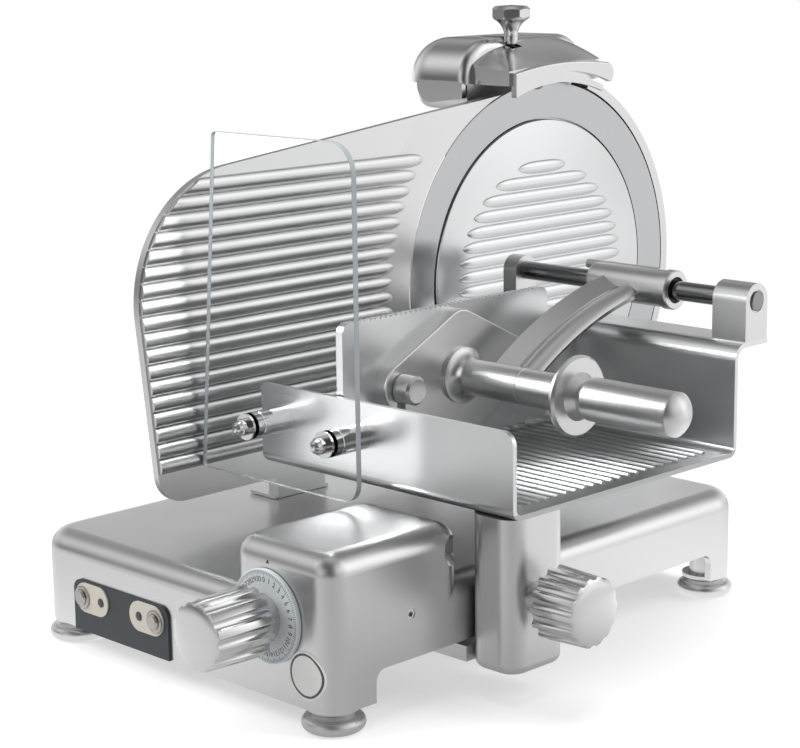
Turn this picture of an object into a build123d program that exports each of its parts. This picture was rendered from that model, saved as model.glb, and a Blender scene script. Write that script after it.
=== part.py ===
from build123d import *
import math
import os

# Upright-knife food slicer. Millimetres, +X to the operator's right and square to the knife,
# +Y away from the operator along the carriage stroke, +Z up, origin on the table.

# Knife: the cutting edge lies in the plane X = knife_x
knife_x = -122.75
knife_y = 200.25
knife_z = 247.5
knife_radius = 175.0
knife_dish = 2.5
knife_body = 5.0
cover_radius = 141.0
cover_gap = 2.0
cover_sheet = 3.5
spindle_radius = 15.0
tie_rod_radius = 6.0

# Base casting, measured from the knife plane and the knife axis
base_left_reach = 94.5
base_right_reach = 253.5
base_front_reach = 513.0
base_rear_gap = 31.0
tower_rear_reach = 85.0
well_front_reach = 95.0
well_left_gap = 22.0
well_right_gap = 20.0
foot_height = 18.5
foot_radius = 23.5
foot_inset = 22.5
platform_height = 74.0
block_rise = 42.0
block_width = 105.5
block_depth = 136.0
casting_wall = 6.0
corner_radius = 18.0
outer_corner = 30.0
top_radius = 16.0
hollow_radius = 8.0
arm_bay_height = 24.0
leg_length = 44.0

# Carriage
post_gap = 2.5
post_width = 47.0
post_depth = 55.0
post_lift = 8.0
post_drop = 3.0
post_skirt = 7.0
tray_front_reach = 378.0
tray_depth = 268.0
tray_gap = 33.5
tray_clear = 7.7
tray_sheet = 4.0
tray_bend = 9.0
front_wall_height = 66.0
rear_wall_height = 87.5
flange_depth = 39.0
tray_rib_count = 22
guide_rod_radius = 10.0
guide_rod_side = 130.0
guide_rod_rise = 37.0
arm_sheet = 12.0
roller_radius = 12.0

# Pusher
pusher_rod_radius = 8.0
pusher_rod_rise = 36.0
sleeve_radius = 15.5
sleeve_start = 136.0
sleeve_length = 86.0
plate_side = 122.0
plate_sheet = 7.0
plate_width = 238.0
plate_height = 113.0
tube_drop = 57.5
tube_reach = 166.0
tube_radius = 14.5
grip_radius = 17.0
grip_length = 102.0
hand_guard_radius = 32.0

# Clear guard
glass_sheet = 5.0
glass_stand_off = 33.0
glass_gap = 2.0
glass_width = 179.0
glass_height = 270.0

# Gauge plate and thickness control
gauge_sheet = 6.5
gauge_rib = 4.0
gauge_rib_pitch = 12.9
gauge_rib_count = 18
gauge_gap = 3.0
gauge_travel = 16.0
dial_turn = 348.0
dial_radius = 35.0
knob_radius = 26.5
knob_length = 70.0
knob_gap = 13.0
thickness_inset = 41.0
thickness_rise = 62.0
thickness_shaft_radius = 7.0
cam_radius = 32.0
cam_start_radius = 10.0
follower_radius = 3.0

# Controls
panel_width = 118.0
panel_height = 42.0
panel_left_gap = 43.0
panel_sheet = 2.0
pill_width = 41.0
pill_height = 24.0
pill_spacing = 68.5
button_radius = 6.5
button_rise = 28.7

# Drive
upright_width = 156.0
upright_gap = 22.0
upright_wall = 7.0
motor_radius = 48.0
motor_drop = 133.0
knife_pulley_radius = 45.0
motor_pulley_radius = 17.0
pulley_width = 11.0
belt_sheet = 3.0

# Sharpener
hood_left = 115.0
hood_right = 18.0
hood_front = 78.0
hood_rear = 92.0
hood_base = 176.0
hood_top = 216.0
lobe_right = 26.0

# Clearances
running = 0.05
slack = 0.5
belt_gap = 0.3

# Places worked out from the sizes above
base_left = knife_x - base_left_reach
base_right = knife_x + base_right_reach
base_front = knife_y - base_front_reach
base_rear = knife_y - base_rear_gap
tower_rear = knife_y + tower_rear_reach
tower_right = knife_x - well_left_gap
well_front = knife_y - well_front_reach
well_right = knife_x + well_right_gap
platform_top = foot_height + platform_height
ceiling = platform_top - casting_wall
block_top = platform_top + block_rise
block_left = base_right - block_width
block_rear = base_front + block_depth
arm_bay_top = foot_height + arm_bay_height
post_left = base_right + post_gap
post_right = post_left + post_width
post_bottom = foot_height + post_lift
tray_front = knife_y - tray_front_reach
tray_rear = tray_front + tray_depth
tray_left = knife_x + tray_gap
tray_right = post_right
tray_bottom = block_top + tray_clear
tray_floor = tray_bottom + tray_sheet
post_rear = tray_front + post_depth
flange_under = tray_bottom + rear_wall_height
pusher_rod_y = tray_rear + 0.6 * flange_depth
pusher_rod_z = flange_under + pusher_rod_rise
guide_rod_x = knife_x + guide_rod_side
guide_rod_z = foot_height + guide_rod_rise
arm_top = post_bottom + arm_sheet
thickness_x = block_left + thickness_inset
thickness_z = foot_height + thickness_rise
button_z = foot_height + button_rise

os.makedirs("parts", exist_ok=True)


def facing_right(x):
    """Sketch plane square to X: the sketch's axes are Y and Z."""
    return Plane.YZ.offset(x)


def facing_front(y):
    """Sketch plane that faces the operator: the sketch's axes are X and Z."""
    return Plane.XZ.offset(-y)


def box(x_range, y_range, z_range, mode=Mode.ADD):
    """Block between two corners, added to the part being built."""
    spans = (x_range, y_range, z_range)
    with Locations(tuple(sum(span) / 2 for span in spans)):
        Box(*(span[1] - span[0] for span in spans), mode=mode)


def rod_x(x_range, y, z, radius, mode=Mode.ADD):
    """Round bar along X."""
    with BuildSketch(facing_right(x_range[0])) as section:
        with Locations((y, z)):
            Circle(radius)
    extrude(section.sketch, amount=x_range[1] - x_range[0], mode=mode)


def rod_y(y_range, x, z, radius, mode=Mode.ADD):
    """Round bar along Y."""
    with BuildSketch(facing_front(y_range[1])) as section:
        with Locations((x, z)):
            Circle(radius)
    extrude(section.sketch, amount=y_range[1] - y_range[0], mode=mode)


def rod_z(z_range, x, y, radius, mode=Mode.ADD):
    """Round bar along Z."""
    with BuildSketch(Plane.XY.offset(z_range[0])) as section:
        with Locations((x, y)):
            Circle(radius)
    extrude(section.sketch, amount=z_range[1] - z_range[0], mode=mode)


def turned_x(y, z, *profile):
    """Turned piece about an axis along X. The profile is (x, radius) points."""
    with BuildSketch(Plane(origin=(0, y, z), x_dir=(1, 0, 0), z_dir=(0, -1, 0))) as half:
        Polygon(*profile, align=None)
    revolve(half.sketch, axis=Axis((0, y, z), (1, 0, 0)))


def turned_y(x, z, *profile):
    """Turned piece about an axis along Y. The profile is (y, radius) points."""
    with BuildSketch(Plane(origin=(x, 0, z), x_dir=(0, 1, 0), z_dir=(1, 0, 0))) as half:
        Polygon(*profile, align=None)
    revolve(half.sketch, axis=Axis((x, 0, z), (0, 1, 0)))


def turned_z(x, y, *profile):
    """Turned piece about an axis along Z. The profile is (radius, z) points."""
    with BuildSketch(Plane(origin=(x, y, 0), x_dir=(1, 0, 0), z_dir=(0, -1, 0))) as half:
        Polygon(*profile, align=None)
    revolve(half.sketch, axis=Axis((x, y, 0), (0, 0, 1)))


def keep(builder, name):
    """Label a finished piece and write it as its own file."""
    builder.part.label = name
    export_step(builder.part, f"parts/{name}.step")


# Base casting: platform, raised control block, knife well and legs
def base_plan(inset):
    """Plan of the base, moved inwards by a wall thickness, and its corner radii."""
    corners = (
        (base_left + inset, base_front + inset),
        (base_right - inset, base_front + inset),
        (base_right - inset, base_rear - inset),
        (well_right + inset, base_rear - inset),
        (well_right + inset, well_front - inset),
        (tower_right - inset, well_front - inset),
        (tower_right - inset, tower_rear - inset),
        (base_left + inset, tower_rear - inset),
    )
    outward = (outer_corner, corner_radius, outer_corner, corner_radius, corner_radius, corner_radius,
               corner_radius, outer_corner)
    return corners, [radius - inset for radius in outward]


foot_places = (
    (base_left + foot_inset, base_front + foot_inset),
    (base_right - foot_inset, base_front + foot_inset),
    (base_right - foot_inset, base_rear - foot_inset),
    (base_left + foot_inset, tower_rear - foot_inset),
)
foot_boss_radius = 13.0
foot_bolt_radius = 4.0
bay_front = base_front + leg_length
bay_rear = base_rear - leg_length
recess_radius = 14.0
recess_inset = 7.0
recess_drop = 20.0
recess_depth = 9.0
side_screw_radius = 4.0
side_screw_depth = 4.0
side_screw_y = base_front + 80.0
side_screw_z = foot_height + 57.6
motor_pit = ((knife_x - 84.0, knife_x - 34.0), (knife_y - 56.0, knife_y + 56.0))
collar_radius = 7.9
start_x = knife_x - panel_left_gap + 12.8
stop_x = start_x + 90.8
clamp_half = 17.0
clamp_length = 18.0
rod_front = base_front + casting_wall
rod_rear = base_rear - casting_wall
gauge_bracket_sheet = 12.0
gauge_bracket_reach = 325.0
gauge_bracket_width = 55.0
gauge_back = knife_x - gauge_rib - gauge_sheet
gauge_bracket_x = (gauge_back - gauge_bracket_sheet, gauge_back)
gauge_bracket_y = (knife_y - gauge_bracket_reach, knife_y - gauge_bracket_reach + gauge_bracket_width)
gauge_slot_gap = 1.5
gauge_slot = (
    (gauge_bracket_x[0] - gauge_travel - gauge_slot_gap, gauge_bracket_x[1] + gauge_slot_gap),
    (gauge_bracket_y[0] - gauge_slot_gap, gauge_bracket_y[1] + gauge_slot_gap),
)
gauge_rod_y = sum(gauge_bracket_y) / 2
gauge_rod_z = foot_height + 35.0
gauge_rod_radius = 8.0
gauge_rod_ends = (base_left + casting_wall + 2.0, knife_x + 32.0)
support_width = 10.0
support_half = 15.0
upright_front = knife_x - upright_gap
upright_back = base_left
upright_half = upright_width / 2



def base_hollow():
    """Space inside the base, open below, with rounded inner edges."""
    corners, radii = base_plan(casting_wall)
    with BuildPart() as hollow:
        with BuildSketch(Plane.XY.offset(foot_height)):
            with BuildLine():
                FilletPolyline(*corners, radius=radii, close=True)
            make_face()
        extrude(amount=platform_height - casting_wall)
        fillet(hollow.faces().sort_by(Axis.Z)[-1].edges(), hollow_radius)
    return hollow.part


def block_hollow():
    """Space inside the control block, open below."""
    with BuildPart() as hollow:
        with BuildSketch(Plane.XY.offset(foot_height)):
            with Locations(((block_left + base_right) / 2, (base_front + block_rear) / 2)):
                RectangleRounded(block_width - 2 * casting_wall, block_depth - 2 * casting_wall,
                                 corner_radius - casting_wall)
        extrude(amount=block_top - casting_wall - foot_height)
        fillet(hollow.faces().sort_by(Axis.Z)[-1].edges(), hollow_radius)
    return hollow.part


with BuildPart() as base_casting:
    base_corners, base_radii = base_plan(0)
    with BuildSketch(Plane.XY.offset(foot_height)):
        with BuildLine():
            FilletPolyline(*base_corners, radius=base_radii, close=True)
        make_face()
    extrude(amount=platform_height)
    fillet(base_casting.faces().sort_by(Axis.Z)[-1].edges(), top_radius)
    with BuildSketch(Plane.XY.offset(foot_height)):
        with Locations(((block_left + base_right) / 2, (base_front + block_rear) / 2)):
            RectangleRounded(block_width, block_depth, corner_radius)
    extrude(amount=platform_height + block_rise)
    fillet(base_casting.faces().sort_by(Axis.Z)[-1].edges(), top_radius)
    add(base_hollow(), mode=Mode.SUBTRACT)
    add(block_hollow(), mode=Mode.SUBTRACT)
    for foot_x, foot_y in foot_places:
        under_block = foot_x > block_left and foot_y < block_rear
        roof = block_top if under_block else platform_top
        rod_z((foot_height, roof - casting_wall / 2), foot_x, foot_y, foot_boss_radius)
    for y_range in ((rod_front, rod_front + clamp_length), (rod_rear - clamp_length, rod_rear)):
        box((guide_rod_x - clamp_half, guide_rod_x + clamp_half), y_range,
            (guide_rod_z - clamp_half, ceiling + 1))
    for support_left in (gauge_rod_ends[0], gauge_rod_ends[1] - support_width):
        box((support_left, support_left + support_width),
            (gauge_rod_y - support_half, gauge_rod_y + support_half),
            (gauge_rod_z - support_half, ceiling + 1))
    box((upright_back, upright_front), (knife_y - upright_half, knife_y + upright_half),
        (ceiling - top_radius, platform_top))
    for foot_x, foot_y in foot_places:
        rod_z((foot_height, ceiling - casting_wall), foot_x, foot_y, foot_bolt_radius + running / 2,
              Mode.SUBTRACT)
    rod_y((rod_front, rod_rear), guide_rod_x, guide_rod_z, guide_rod_radius + running / 2,
          Mode.SUBTRACT)
    rod_x(gauge_rod_ends, gauge_rod_y, gauge_rod_z, gauge_rod_radius + running / 2, Mode.SUBTRACT)
    with BuildSketch(facing_right(base_right + 1)):
        with BuildLine():
            FilletPolyline(
                (bay_front, foot_height - 1),
                (bay_rear, foot_height - 1),
                (bay_rear, arm_bay_top),
                (bay_front, arm_bay_top),
                radius=[0, 0, corner_radius / 2, corner_radius / 2],
                close=True,
            )
        make_face()
    extrude(amount=-(casting_wall + 2), mode=Mode.SUBTRACT)
    box(*gauge_slot, (ceiling - 1, platform_top + 1), Mode.SUBTRACT)
    box(*motor_pit, (ceiling - top_radius - 1, platform_top + 1), Mode.SUBTRACT)
    rod_y((base_front - 1, base_front + 2 * casting_wall), thickness_x, thickness_z,
          thickness_shaft_radius + running, Mode.SUBTRACT)
    for button_x in (start_x, stop_x):
        rod_y((base_front - 1, base_front + 2 * casting_wall), button_x, button_z,
              collar_radius + running, Mode.SUBTRACT)
    rod_x((base_right - side_screw_depth, base_right + 1), side_screw_y, side_screw_z,
          side_screw_radius + running, Mode.SUBTRACT)
    turned_recess = Plane(
        origin=(base_right, block_rear - recess_inset, block_top - recess_drop),
        x_dir=(0, 1, 0), z_dir=(-1, 0, 0),
    )
    with BuildSketch(turned_recess):
        Circle(recess_radius)
    extrude(amount=recess_depth, taper=40, mode=Mode.SUBTRACT)
keep(base_casting, "base_casting")

with BuildPart() as side_screw:
    rod_x((base_right - side_screw_depth, base_right - 0.6), side_screw_y, side_screw_z, side_screw_radius)
    with BuildSketch(facing_right(base_right - 0.6)):
        with Locations((side_screw_y, side_screw_z)):
            RegularPolygon(side_screw_radius * 0.6, 6)
    extrude(amount=-2.0, mode=Mode.SUBTRACT)
keep(side_screw, "side_screw")

# Round feet, each with its stud: a bulging disc, a groove and a collar under the base
foot_stud_length = 30.0
foot_hollow_radius = 9.0
foot_hollow_depth = 5.0
foot_disc = 11.5
foot_bulge = 5.0
foot_groove_step = 2.0
foot_collar_radius = 19.0
foot_groove_radius = 16.0
foot_tread = foot_radius - foot_bulge
with BuildPart() as feet:
    for foot_x, foot_y in foot_places:
        with BuildSketch(Plane(origin=(foot_x, foot_y, 0), x_dir=(1, 0, 0), z_dir=(0, -1, 0))):
            with BuildLine():
                ThreePointArc((foot_tread, 0), (foot_radius, foot_disc / 2), (foot_tread, foot_disc))
                Polyline(
                    (foot_tread, foot_disc), (foot_groove_radius, foot_disc + foot_groove_step),
                    (foot_collar_radius, foot_disc + 2 * foot_groove_step),
                    (foot_collar_radius, foot_height),
                    (foot_bolt_radius, foot_height), (foot_bolt_radius, foot_height + foot_stud_length),
                    (0, foot_height + foot_stud_length), (0, foot_hollow_depth),
                    (foot_hollow_radius, foot_hollow_depth), (foot_hollow_radius, 0), (foot_tread, 0),
                )
            make_face()
        revolve(axis=Axis((foot_x, foot_y, 0), (0, 0, 1)))
keep(feet, "feet")

# Control panel, its two pill plates, bezels, lamps and buttons
panel_left = knife_x - panel_left_gap
panel_face = base_front - panel_sheet
pill_sheet = 1.2
pill_face = panel_face - pill_sheet
bezel_face = pill_face - 1.8
bezel_radius = 9.0
lens_radius = 3.6
button_proud = 2.0
button_stem = 12.0
button_gap = 0.06
pill_centres = (start_x + 11.6, start_x + 11.6 + pill_spacing)
lens_places = (start_x + 23.4, stop_x - 19.5)
button_places = (start_x, stop_x)

with BuildPart() as control_panel:
    with BuildSketch(facing_front(base_front)):
        with BuildLine():
            FilletPolyline(
                (panel_left, foot_height),
                (panel_left + panel_width, foot_height),
                (panel_left + panel_width, foot_height + panel_height),
                (panel_left, foot_height + panel_height),
                radius=[0, 0, 9.0, 9.0],
                close=True,
            )
        make_face()
        with Locations(*((x, button_z) for x in button_places)):
            Circle(button_radius + button_gap, mode=Mode.SUBTRACT)
    extrude(amount=panel_sheet)
keep(control_panel, "control_panel")

with BuildPart() as button_plates:
    with BuildSketch(facing_front(panel_face)):
        with Locations(*((x, button_z) for x in pill_centres)):
            SlotOverall(pill_width, pill_height)
        with Locations(*((x, button_z) for x in button_places)):
            Circle(button_radius + button_gap, mode=Mode.SUBTRACT)
        with Locations(*((x, button_z) for x in lens_places)):
            Circle(lens_radius + running, mode=Mode.SUBTRACT)
    extrude(amount=pill_sheet)
keep(button_plates, "button_plates")

with BuildPart() as button_bezels:
    for button_x in button_places:
        turned_y(
            button_x, button_z,
            (pill_face, button_radius + button_gap), (pill_face, bezel_radius),
            (bezel_face + 0.8, bezel_radius), (bezel_face, bezel_radius - 1.2),
            (bezel_face, button_radius + button_gap),
        )
keep(button_bezels, "button_bezels")

with BuildPart() as indicator_lenses:
    for lens_x in lens_places:
        turned_y(
            lens_x, button_z,
            (panel_face, 0), (panel_face, lens_radius), (pill_face - 0.4, lens_radius),
            (pill_face - 1.2, lens_radius * 0.6), (pill_face - 1.4, 0),
        )
keep(indicator_lenses, "indicator_lenses")

for button_name, button_x in (("start_button", start_x), ("stop_button", stop_x)):
    with BuildPart() as button:
        turned_y(
            button_x, button_z,
            (bezel_face - button_proud, 0), (bezel_face - button_proud, button_radius - 1.4),
            (bezel_face - button_proud + 1.2, button_radius), (panel_face + 1.0, button_radius),
            (panel_face + 1.0, 4.0), (base_front + button_stem, 4.0), (base_front + button_stem, 0),
        )
    keep(button, button_name)

with BuildPart() as contact_blocks:
    for button_x in button_places:
        rod_y((base_front, base_front + 18), button_x, button_z, collar_radius)
        box((button_x - 13, button_x + 13), (base_front + 17, base_front + 44),
            (button_z - 13, button_z + 13))
    for button_x in button_places:
        rod_y((base_front - 1, base_front + button_stem + 6), button_x, button_z,
              button_radius + button_gap, Mode.SUBTRACT)
keep(contact_blocks, "contact_blocks")

# Mains inlet gland on the rear wall
gland_x = (base_left + tower_right) / 2
gland_z = foot_height + 35.0
gland_profile = (
    (tower_rear, 3.5), (tower_rear, 11.0), (tower_rear + 5.0, 11.0), (tower_rear + 5.0, 8.5),
    (tower_rear + 9.0, 8.5), (tower_rear + 9.0, 10.0), (tower_rear + 16.0, 10.0), (tower_rear + 19.0, 7.0),
    (tower_rear + 19.0, 3.5),
)
with BuildPart() as cable_gland:
    turned_y(gland_x, gland_z, *gland_profile)
keep(cable_gland, "cable_gland")

# Carriage guide rod between the cast clamps, and the roller rail on the right wall
with BuildPart() as carriage_guide_rod:
    rod_y((rod_front, rod_rear), guide_rod_x, guide_rod_z, guide_rod_radius)
    chamfer(carriage_guide_rod.edges().filter_by(GeomType.CIRCLE), 1.5)
keep(carriage_guide_rod, "carriage_guide_rod")

rail_bottom = arm_bay_top + 2.0
rail_top = rail_bottom + 7.0
rail_width = 20.0
wall_inside = base_right - casting_wall
with BuildPart() as roller_rail:
    box((wall_inside - rail_width, wall_inside), (bay_front, bay_rear), (rail_bottom, rail_top))
keep(roller_rail, "roller_rail")

# Carriage: arm under the wall, slider on the rod, post, roller and lock knob
slider_half = 18.0
slider_top = guide_rod_z + slider_half
bush_wall = 3.0
bush_length = 20.0
arm_left = guide_rod_x - slider_half
lug_right = wall_inside - rail_width - 0.5
lug_left = lug_right - 5.5
roller_z = rail_top + roller_radius + belt_gap
roller_left = lug_right + 2.0
roller_right = wall_inside - 4.0
roller_y = tray_front + post_depth / 2
roller_pin_radius = 4.0

with BuildPart() as carriage_arm:
    box((arm_left, post_left), (tray_front, post_rear), (post_bottom, arm_top))
    fillet(carriage_arm.edges().filter_by(Axis.Z).group_by(Axis.X)[0], 10.0)
    with BuildSketch(facing_right(lug_left)):
        with BuildLine():
            FilletPolyline(
                (roller_y - 18, arm_top),
                (roller_y + 18, arm_top),
                (roller_y + 9, roller_z + 9),
                (roller_y - 9, roller_z + 9),
                radius=[0, 0, 8.0, 8.0],
                close=True,
            )
        make_face()
        with Locations((roller_y, roller_z)):
            Circle(roller_pin_radius + running / 2, mode=Mode.SUBTRACT)
    extrude(amount=lug_right - lug_left)
    box((arm_left, guide_rod_x + slider_half), (tray_front, post_rear), (arm_top, slider_top))
    fillet(carriage_arm.edges().filter_by(Axis.Y).group_by(Axis.Z)[-1], 12.0)
    rod_y((tray_front - 1, post_rear + 1), guide_rod_x, guide_rod_z,
          guide_rod_radius + bush_wall + running / 2, Mode.SUBTRACT)
keep(carriage_arm, "carriage_arm")

with BuildPart() as slider_bushes:
    for y_range in ((tray_front, tray_front + bush_length), (post_rear - bush_length, post_rear)):
        rod_y(y_range, guide_rod_x, guide_rod_z, guide_rod_radius + bush_wall)
    rod_y((tray_front - 1, post_rear + 1), guide_rod_x, guide_rod_z, guide_rod_radius + running,
          Mode.SUBTRACT)
keep(slider_bushes, "slider_bushes")

with BuildPart() as roller_pin:
    rod_x((lug_left, roller_right + 2.0), roller_y, roller_z, roller_pin_radius)
    rod_x((lug_right, roller_left - 0.4), roller_y, roller_z, roller_pin_radius + 2.5)
keep(roller_pin, "roller_pin")

with BuildPart() as guide_roller:
    turned_x(
        roller_y, roller_z,
        (roller_left, roller_pin_radius + running), (roller_left, roller_radius - 1.0),
        (roller_left + 1.0, roller_radius), (roller_right - 1.0, roller_radius),
        (roller_right, roller_radius - 1.0), (roller_right, roller_pin_radius + running),
    )
keep(guide_roller, "guide_roller")

lock_y = tray_front + 0.45 * post_depth
lock_z = foot_height + 63.0
lock_stud_radius = 6.0
lock_radius = 27.5
lock_length = 44.0
lock_neck = 16.0
lock_flutes = 14
lock_edge = 5.0
lock_hub_radius = 12.0
lock_stud_length = 28.0
post_corner = 16.0
post_low_corner = 7.0

with BuildPart() as carriage_post:
    with BuildSketch(Plane.XY.offset(post_bottom - post_drop)):
        with Locations(((post_left + post_right) / 2, (tray_front + post_rear + post_skirt) / 2)):
            RectangleRounded(post_width, post_depth + post_skirt, post_corner)
    extrude(amount=tray_bottom - post_bottom + post_drop)
    fillet(carriage_post.faces().sort_by(Axis.Z)[0].edges(), post_low_corner)
    box((post_left, post_left + post_corner), (tray_front + post_corner, post_rear - post_corner),
        (post_bottom, arm_top))
    rod_x((post_right - lock_stud_length - 2, post_right + 1), lock_y, lock_z, lock_stud_radius + running,
          Mode.SUBTRACT)
keep(carriage_post, "carriage_post")


def fluted(radius, flutes, flute_radius, depth):
    """Round outline with scalloped flutes, drawn in the sketch that is open."""
    Circle(radius)
    with PolarLocations(radius + flute_radius - depth, flutes):
        Circle(flute_radius, mode=Mode.SUBTRACT)


with BuildPart() as lock_knob:
    lock_start = Plane(
        origin=(post_right + lock_neck, lock_y, lock_z), x_dir=(0, 1, 0), z_dir=(1, 0, 0)
    )
    with BuildSketch(lock_start):
        fluted(lock_radius, lock_flutes, 4.6, 3.4)
    extrude(amount=lock_length)
    turned_end = Plane(origin=(0, lock_y, lock_z), x_dir=(1, 0, 0), z_dir=(0, -1, 0))
    lock_end = post_right + lock_neck + lock_length
    with BuildSketch(turned_end):
        with BuildLine():
            Polyline((lock_end - lock_length, 0), (lock_end - lock_length, lock_radius - 3),
                     (lock_end - lock_length + 3, lock_radius), (lock_end - lock_edge, lock_radius))
            ThreePointArc(
                (lock_end - lock_edge, lock_radius), (lock_end - 0.3 * lock_edge, 0.8 * lock_radius),
                (lock_end, 0),
            )
            Line((lock_end, 0), (lock_end - lock_length, 0))
        make_face()
    revolve(axis=Axis((0, lock_y, lock_z), (1, 0, 0)), mode=Mode.INTERSECT)
    rod_x((post_right - lock_stud_length, post_right + lock_neck + 2), lock_y, lock_z, lock_stud_radius)
    rod_x((post_right + slack, post_right + lock_neck + 1), lock_y, lock_z, lock_hub_radius)
keep(lock_knob, "lock_knob")

# Meat tray: one bent sheet with ribs pressed in its floor
tray_rib_width = 6.0
tray_rib_height = 1.8
tray_rib_margin = 24.0
tray_lip = 15.0
tray_left_corner = 5.0
tray_right_corner = 10.0
with BuildPart() as meat_tray:
    with BuildSketch(facing_right(tray_left)):
        with BuildLine():
            FilletPolyline(
                (tray_front, tray_bottom + front_wall_height),
                (tray_front, tray_bottom),
                (tray_rear, tray_bottom),
                (tray_rear, flange_under),
                (tray_rear + flange_depth, flange_under),
                radius=[tray_bend, tray_bend, tray_bend],
            )
            offset(amount=tray_sheet, side=Side.LEFT)
        make_face()
    extrude(amount=tray_right - tray_left)
    wall_corners = meat_tray.edges().filter_by(Axis.Y).group_by(Axis.Y)[0].sort_by(Axis.X)
    fillet(wall_corners[0], tray_left_corner)
    fillet(meat_tray.edges().filter_by(Axis.Y).group_by(Axis.Y)[0].sort_by(Axis.X)[-1], tray_right_corner)
    rib_step = (tray_depth - 2 * tray_rib_margin) / (tray_rib_count - 1)
    with BuildSketch(facing_right(tray_left + 8)):
        for rib in range(tray_rib_count):
            with Locations((tray_front + tray_rib_margin + rib * rib_step, tray_floor)):
                Trapezoid(tray_rib_width, 2 * tray_rib_height, 60)
    extrude(amount=tray_right - tray_left - 8 - tray_lip)
keep(meat_tray, "meat_tray")

# Pusher rod in its two end blocks on the tray's flange
left_block_half = 13.0
right_block_half = 14.5
left_block_width = 15.0
right_block_width = 33.0
rod_left = tray_left + 7.5
flange_face = flange_under + tray_sheet


def arched_block(x_range, half):
    """Block with a round top that holds the pusher rod."""
    with BuildSketch(facing_right(x_range[0])) as arch:
        with BuildLine():
            front = pusher_rod_y - half
            rear = pusher_rod_y + half
            Polyline((front, pusher_rod_z), (front, flange_face), (rear, flange_face),
                     (rear, pusher_rod_z))
            ThreePointArc((rear, pusher_rod_z), (pusher_rod_y, pusher_rod_z + half),
                          (front, pusher_rod_z))
        make_face()
        with Locations((pusher_rod_y, pusher_rod_z)):
            Circle(pusher_rod_radius + running / 2, mode=Mode.SUBTRACT)
    extrude(arch.sketch, amount=x_range[1] - x_range[0])


with BuildPart() as rod_block_left:
    arched_block((rod_left, rod_left + left_block_width), left_block_half)
keep(rod_block_left, "rod_block_left")

rod_end_ring = 1.3
rod_end_dome = 1.5
with BuildPart() as rod_block_right:
    arched_block((tray_right - right_block_width, tray_right), right_block_half)
    rod_x((tray_right - rod_end_ring, tray_right + 1), pusher_rod_y, pusher_rod_z,
          pusher_rod_radius + rod_end_ring, Mode.SUBTRACT)
keep(rod_block_right, "rod_block_right")

with BuildPart() as pusher_rod:
    rod_x((rod_left, tray_right + rod_end_dome), pusher_rod_y, pusher_rod_z, pusher_rod_radius)
    fillet(pusher_rod.faces().sort_by(Axis.X)[-1].edges(), rod_end_dome)
keep(pusher_rod, "pusher_rod")

# Pusher: sleeve on bushes, arched arm, tube, plate and handle
sleeve_left = knife_x + sleeve_start
sleeve_right = sleeve_left + sleeve_length
rod_bush_radius = pusher_rod_radius + 3.0
rod_bush_length = 20.0
tube_y = pusher_rod_y - tube_reach
tube_z = pusher_rod_z - tube_drop
plate_right_face = knife_x + plate_side
bracket_sheet = 13.0
bracket_right = plate_right_face + bracket_sheet
arm_width = 40.0
arm_depth = 17.0
arm_rise = 9.1
arm_crease = 18.5
arm_crease_drop = 7.0
arm_ridge_drop = 4.6
push_arm_left = sleeve_left + 18.0
push_arm_right = push_arm_left + arm_width
bush_inset = 3.0
tube_length = 118.0
guard_thickness = 6.0
guard_face = bracket_right + tube_length

with BuildPart() as rod_bushes:
    for bush_left in (sleeve_left + bush_inset, sleeve_right - bush_inset - rod_bush_length):
        rod_x((bush_left, bush_left + rod_bush_length), pusher_rod_y, pusher_rod_z, rod_bush_radius)
    rod_x((sleeve_left - 1, sleeve_right + 1), pusher_rod_y, pusher_rod_z, pusher_rod_radius + running,
          Mode.SUBTRACT)
keep(rod_bushes, "rod_bushes")

arm_start = (pusher_rod_y - sleeve_radius * 0.79, pusher_rod_z + sleeve_radius * 0.49)
arm_finish = (tube_y + tube_radius * 0.73, tube_z + tube_radius * 0.33)
arm_chord = math.dist(arm_start, arm_finish)
arm_curve = (arm_chord ** 2 / 4 + arm_rise ** 2) / (2 * arm_rise)
arm_lean = math.atan2(arm_start[1] - arm_finish[1], arm_start[0] - arm_finish[0])
arm_centre = (
    (arm_start[0] + arm_finish[0]) / 2 + math.sin(arm_lean) * (arm_curve - arm_rise),
    (arm_start[1] + arm_finish[1]) / 2 - math.cos(arm_lean) * (arm_curve - arm_rise),
)
arm_spread = math.degrees(2 * math.asin(arm_chord / 2 / arm_curve))
arm_end_lean = arm_lean - math.radians(arm_spread / 2)


def arched_arm():
    """Arm bent along an arc: a sloping web, a crease and a round ridge, turned about the arc's axis."""
    middle = (arm_crease + arm_width) / 2
    radial = (0, -math.sin(arm_end_lean), math.cos(arm_end_lean))
    along = (0, math.cos(arm_end_lean), math.sin(arm_end_lean))
    start = Plane(origin=(push_arm_left, *arm_centre), x_dir=(1, 0, 0), z_dir=tuple(-c for c in along))
    with BuildSketch(start) as section:
        with BuildLine():
            ThreePointArc(
                (arm_crease, arm_curve - arm_crease_drop - 1.5), (middle, arm_curve - arm_ridge_drop),
                (arm_width, arm_curve - arm_depth + 6.0),
            )
            Polyline(
                (arm_width, arm_curve - arm_depth + 6.0), (arm_width - 5.0, arm_curve - arm_depth),
                (4.0, arm_curve - arm_depth + 4.0), (0, arm_curve - 7.0), (0, arm_curve - 1.5),
                (1.5, arm_curve), (arm_crease - 0.6, arm_curve - arm_crease_drop),
                (arm_crease, arm_curve - arm_crease_drop - 1.5),
            )
        make_face()
    revolve(section.sketch, axis=Axis((0, *arm_centre), (1, 0, 0)), revolution_arc=arm_spread)


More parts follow.
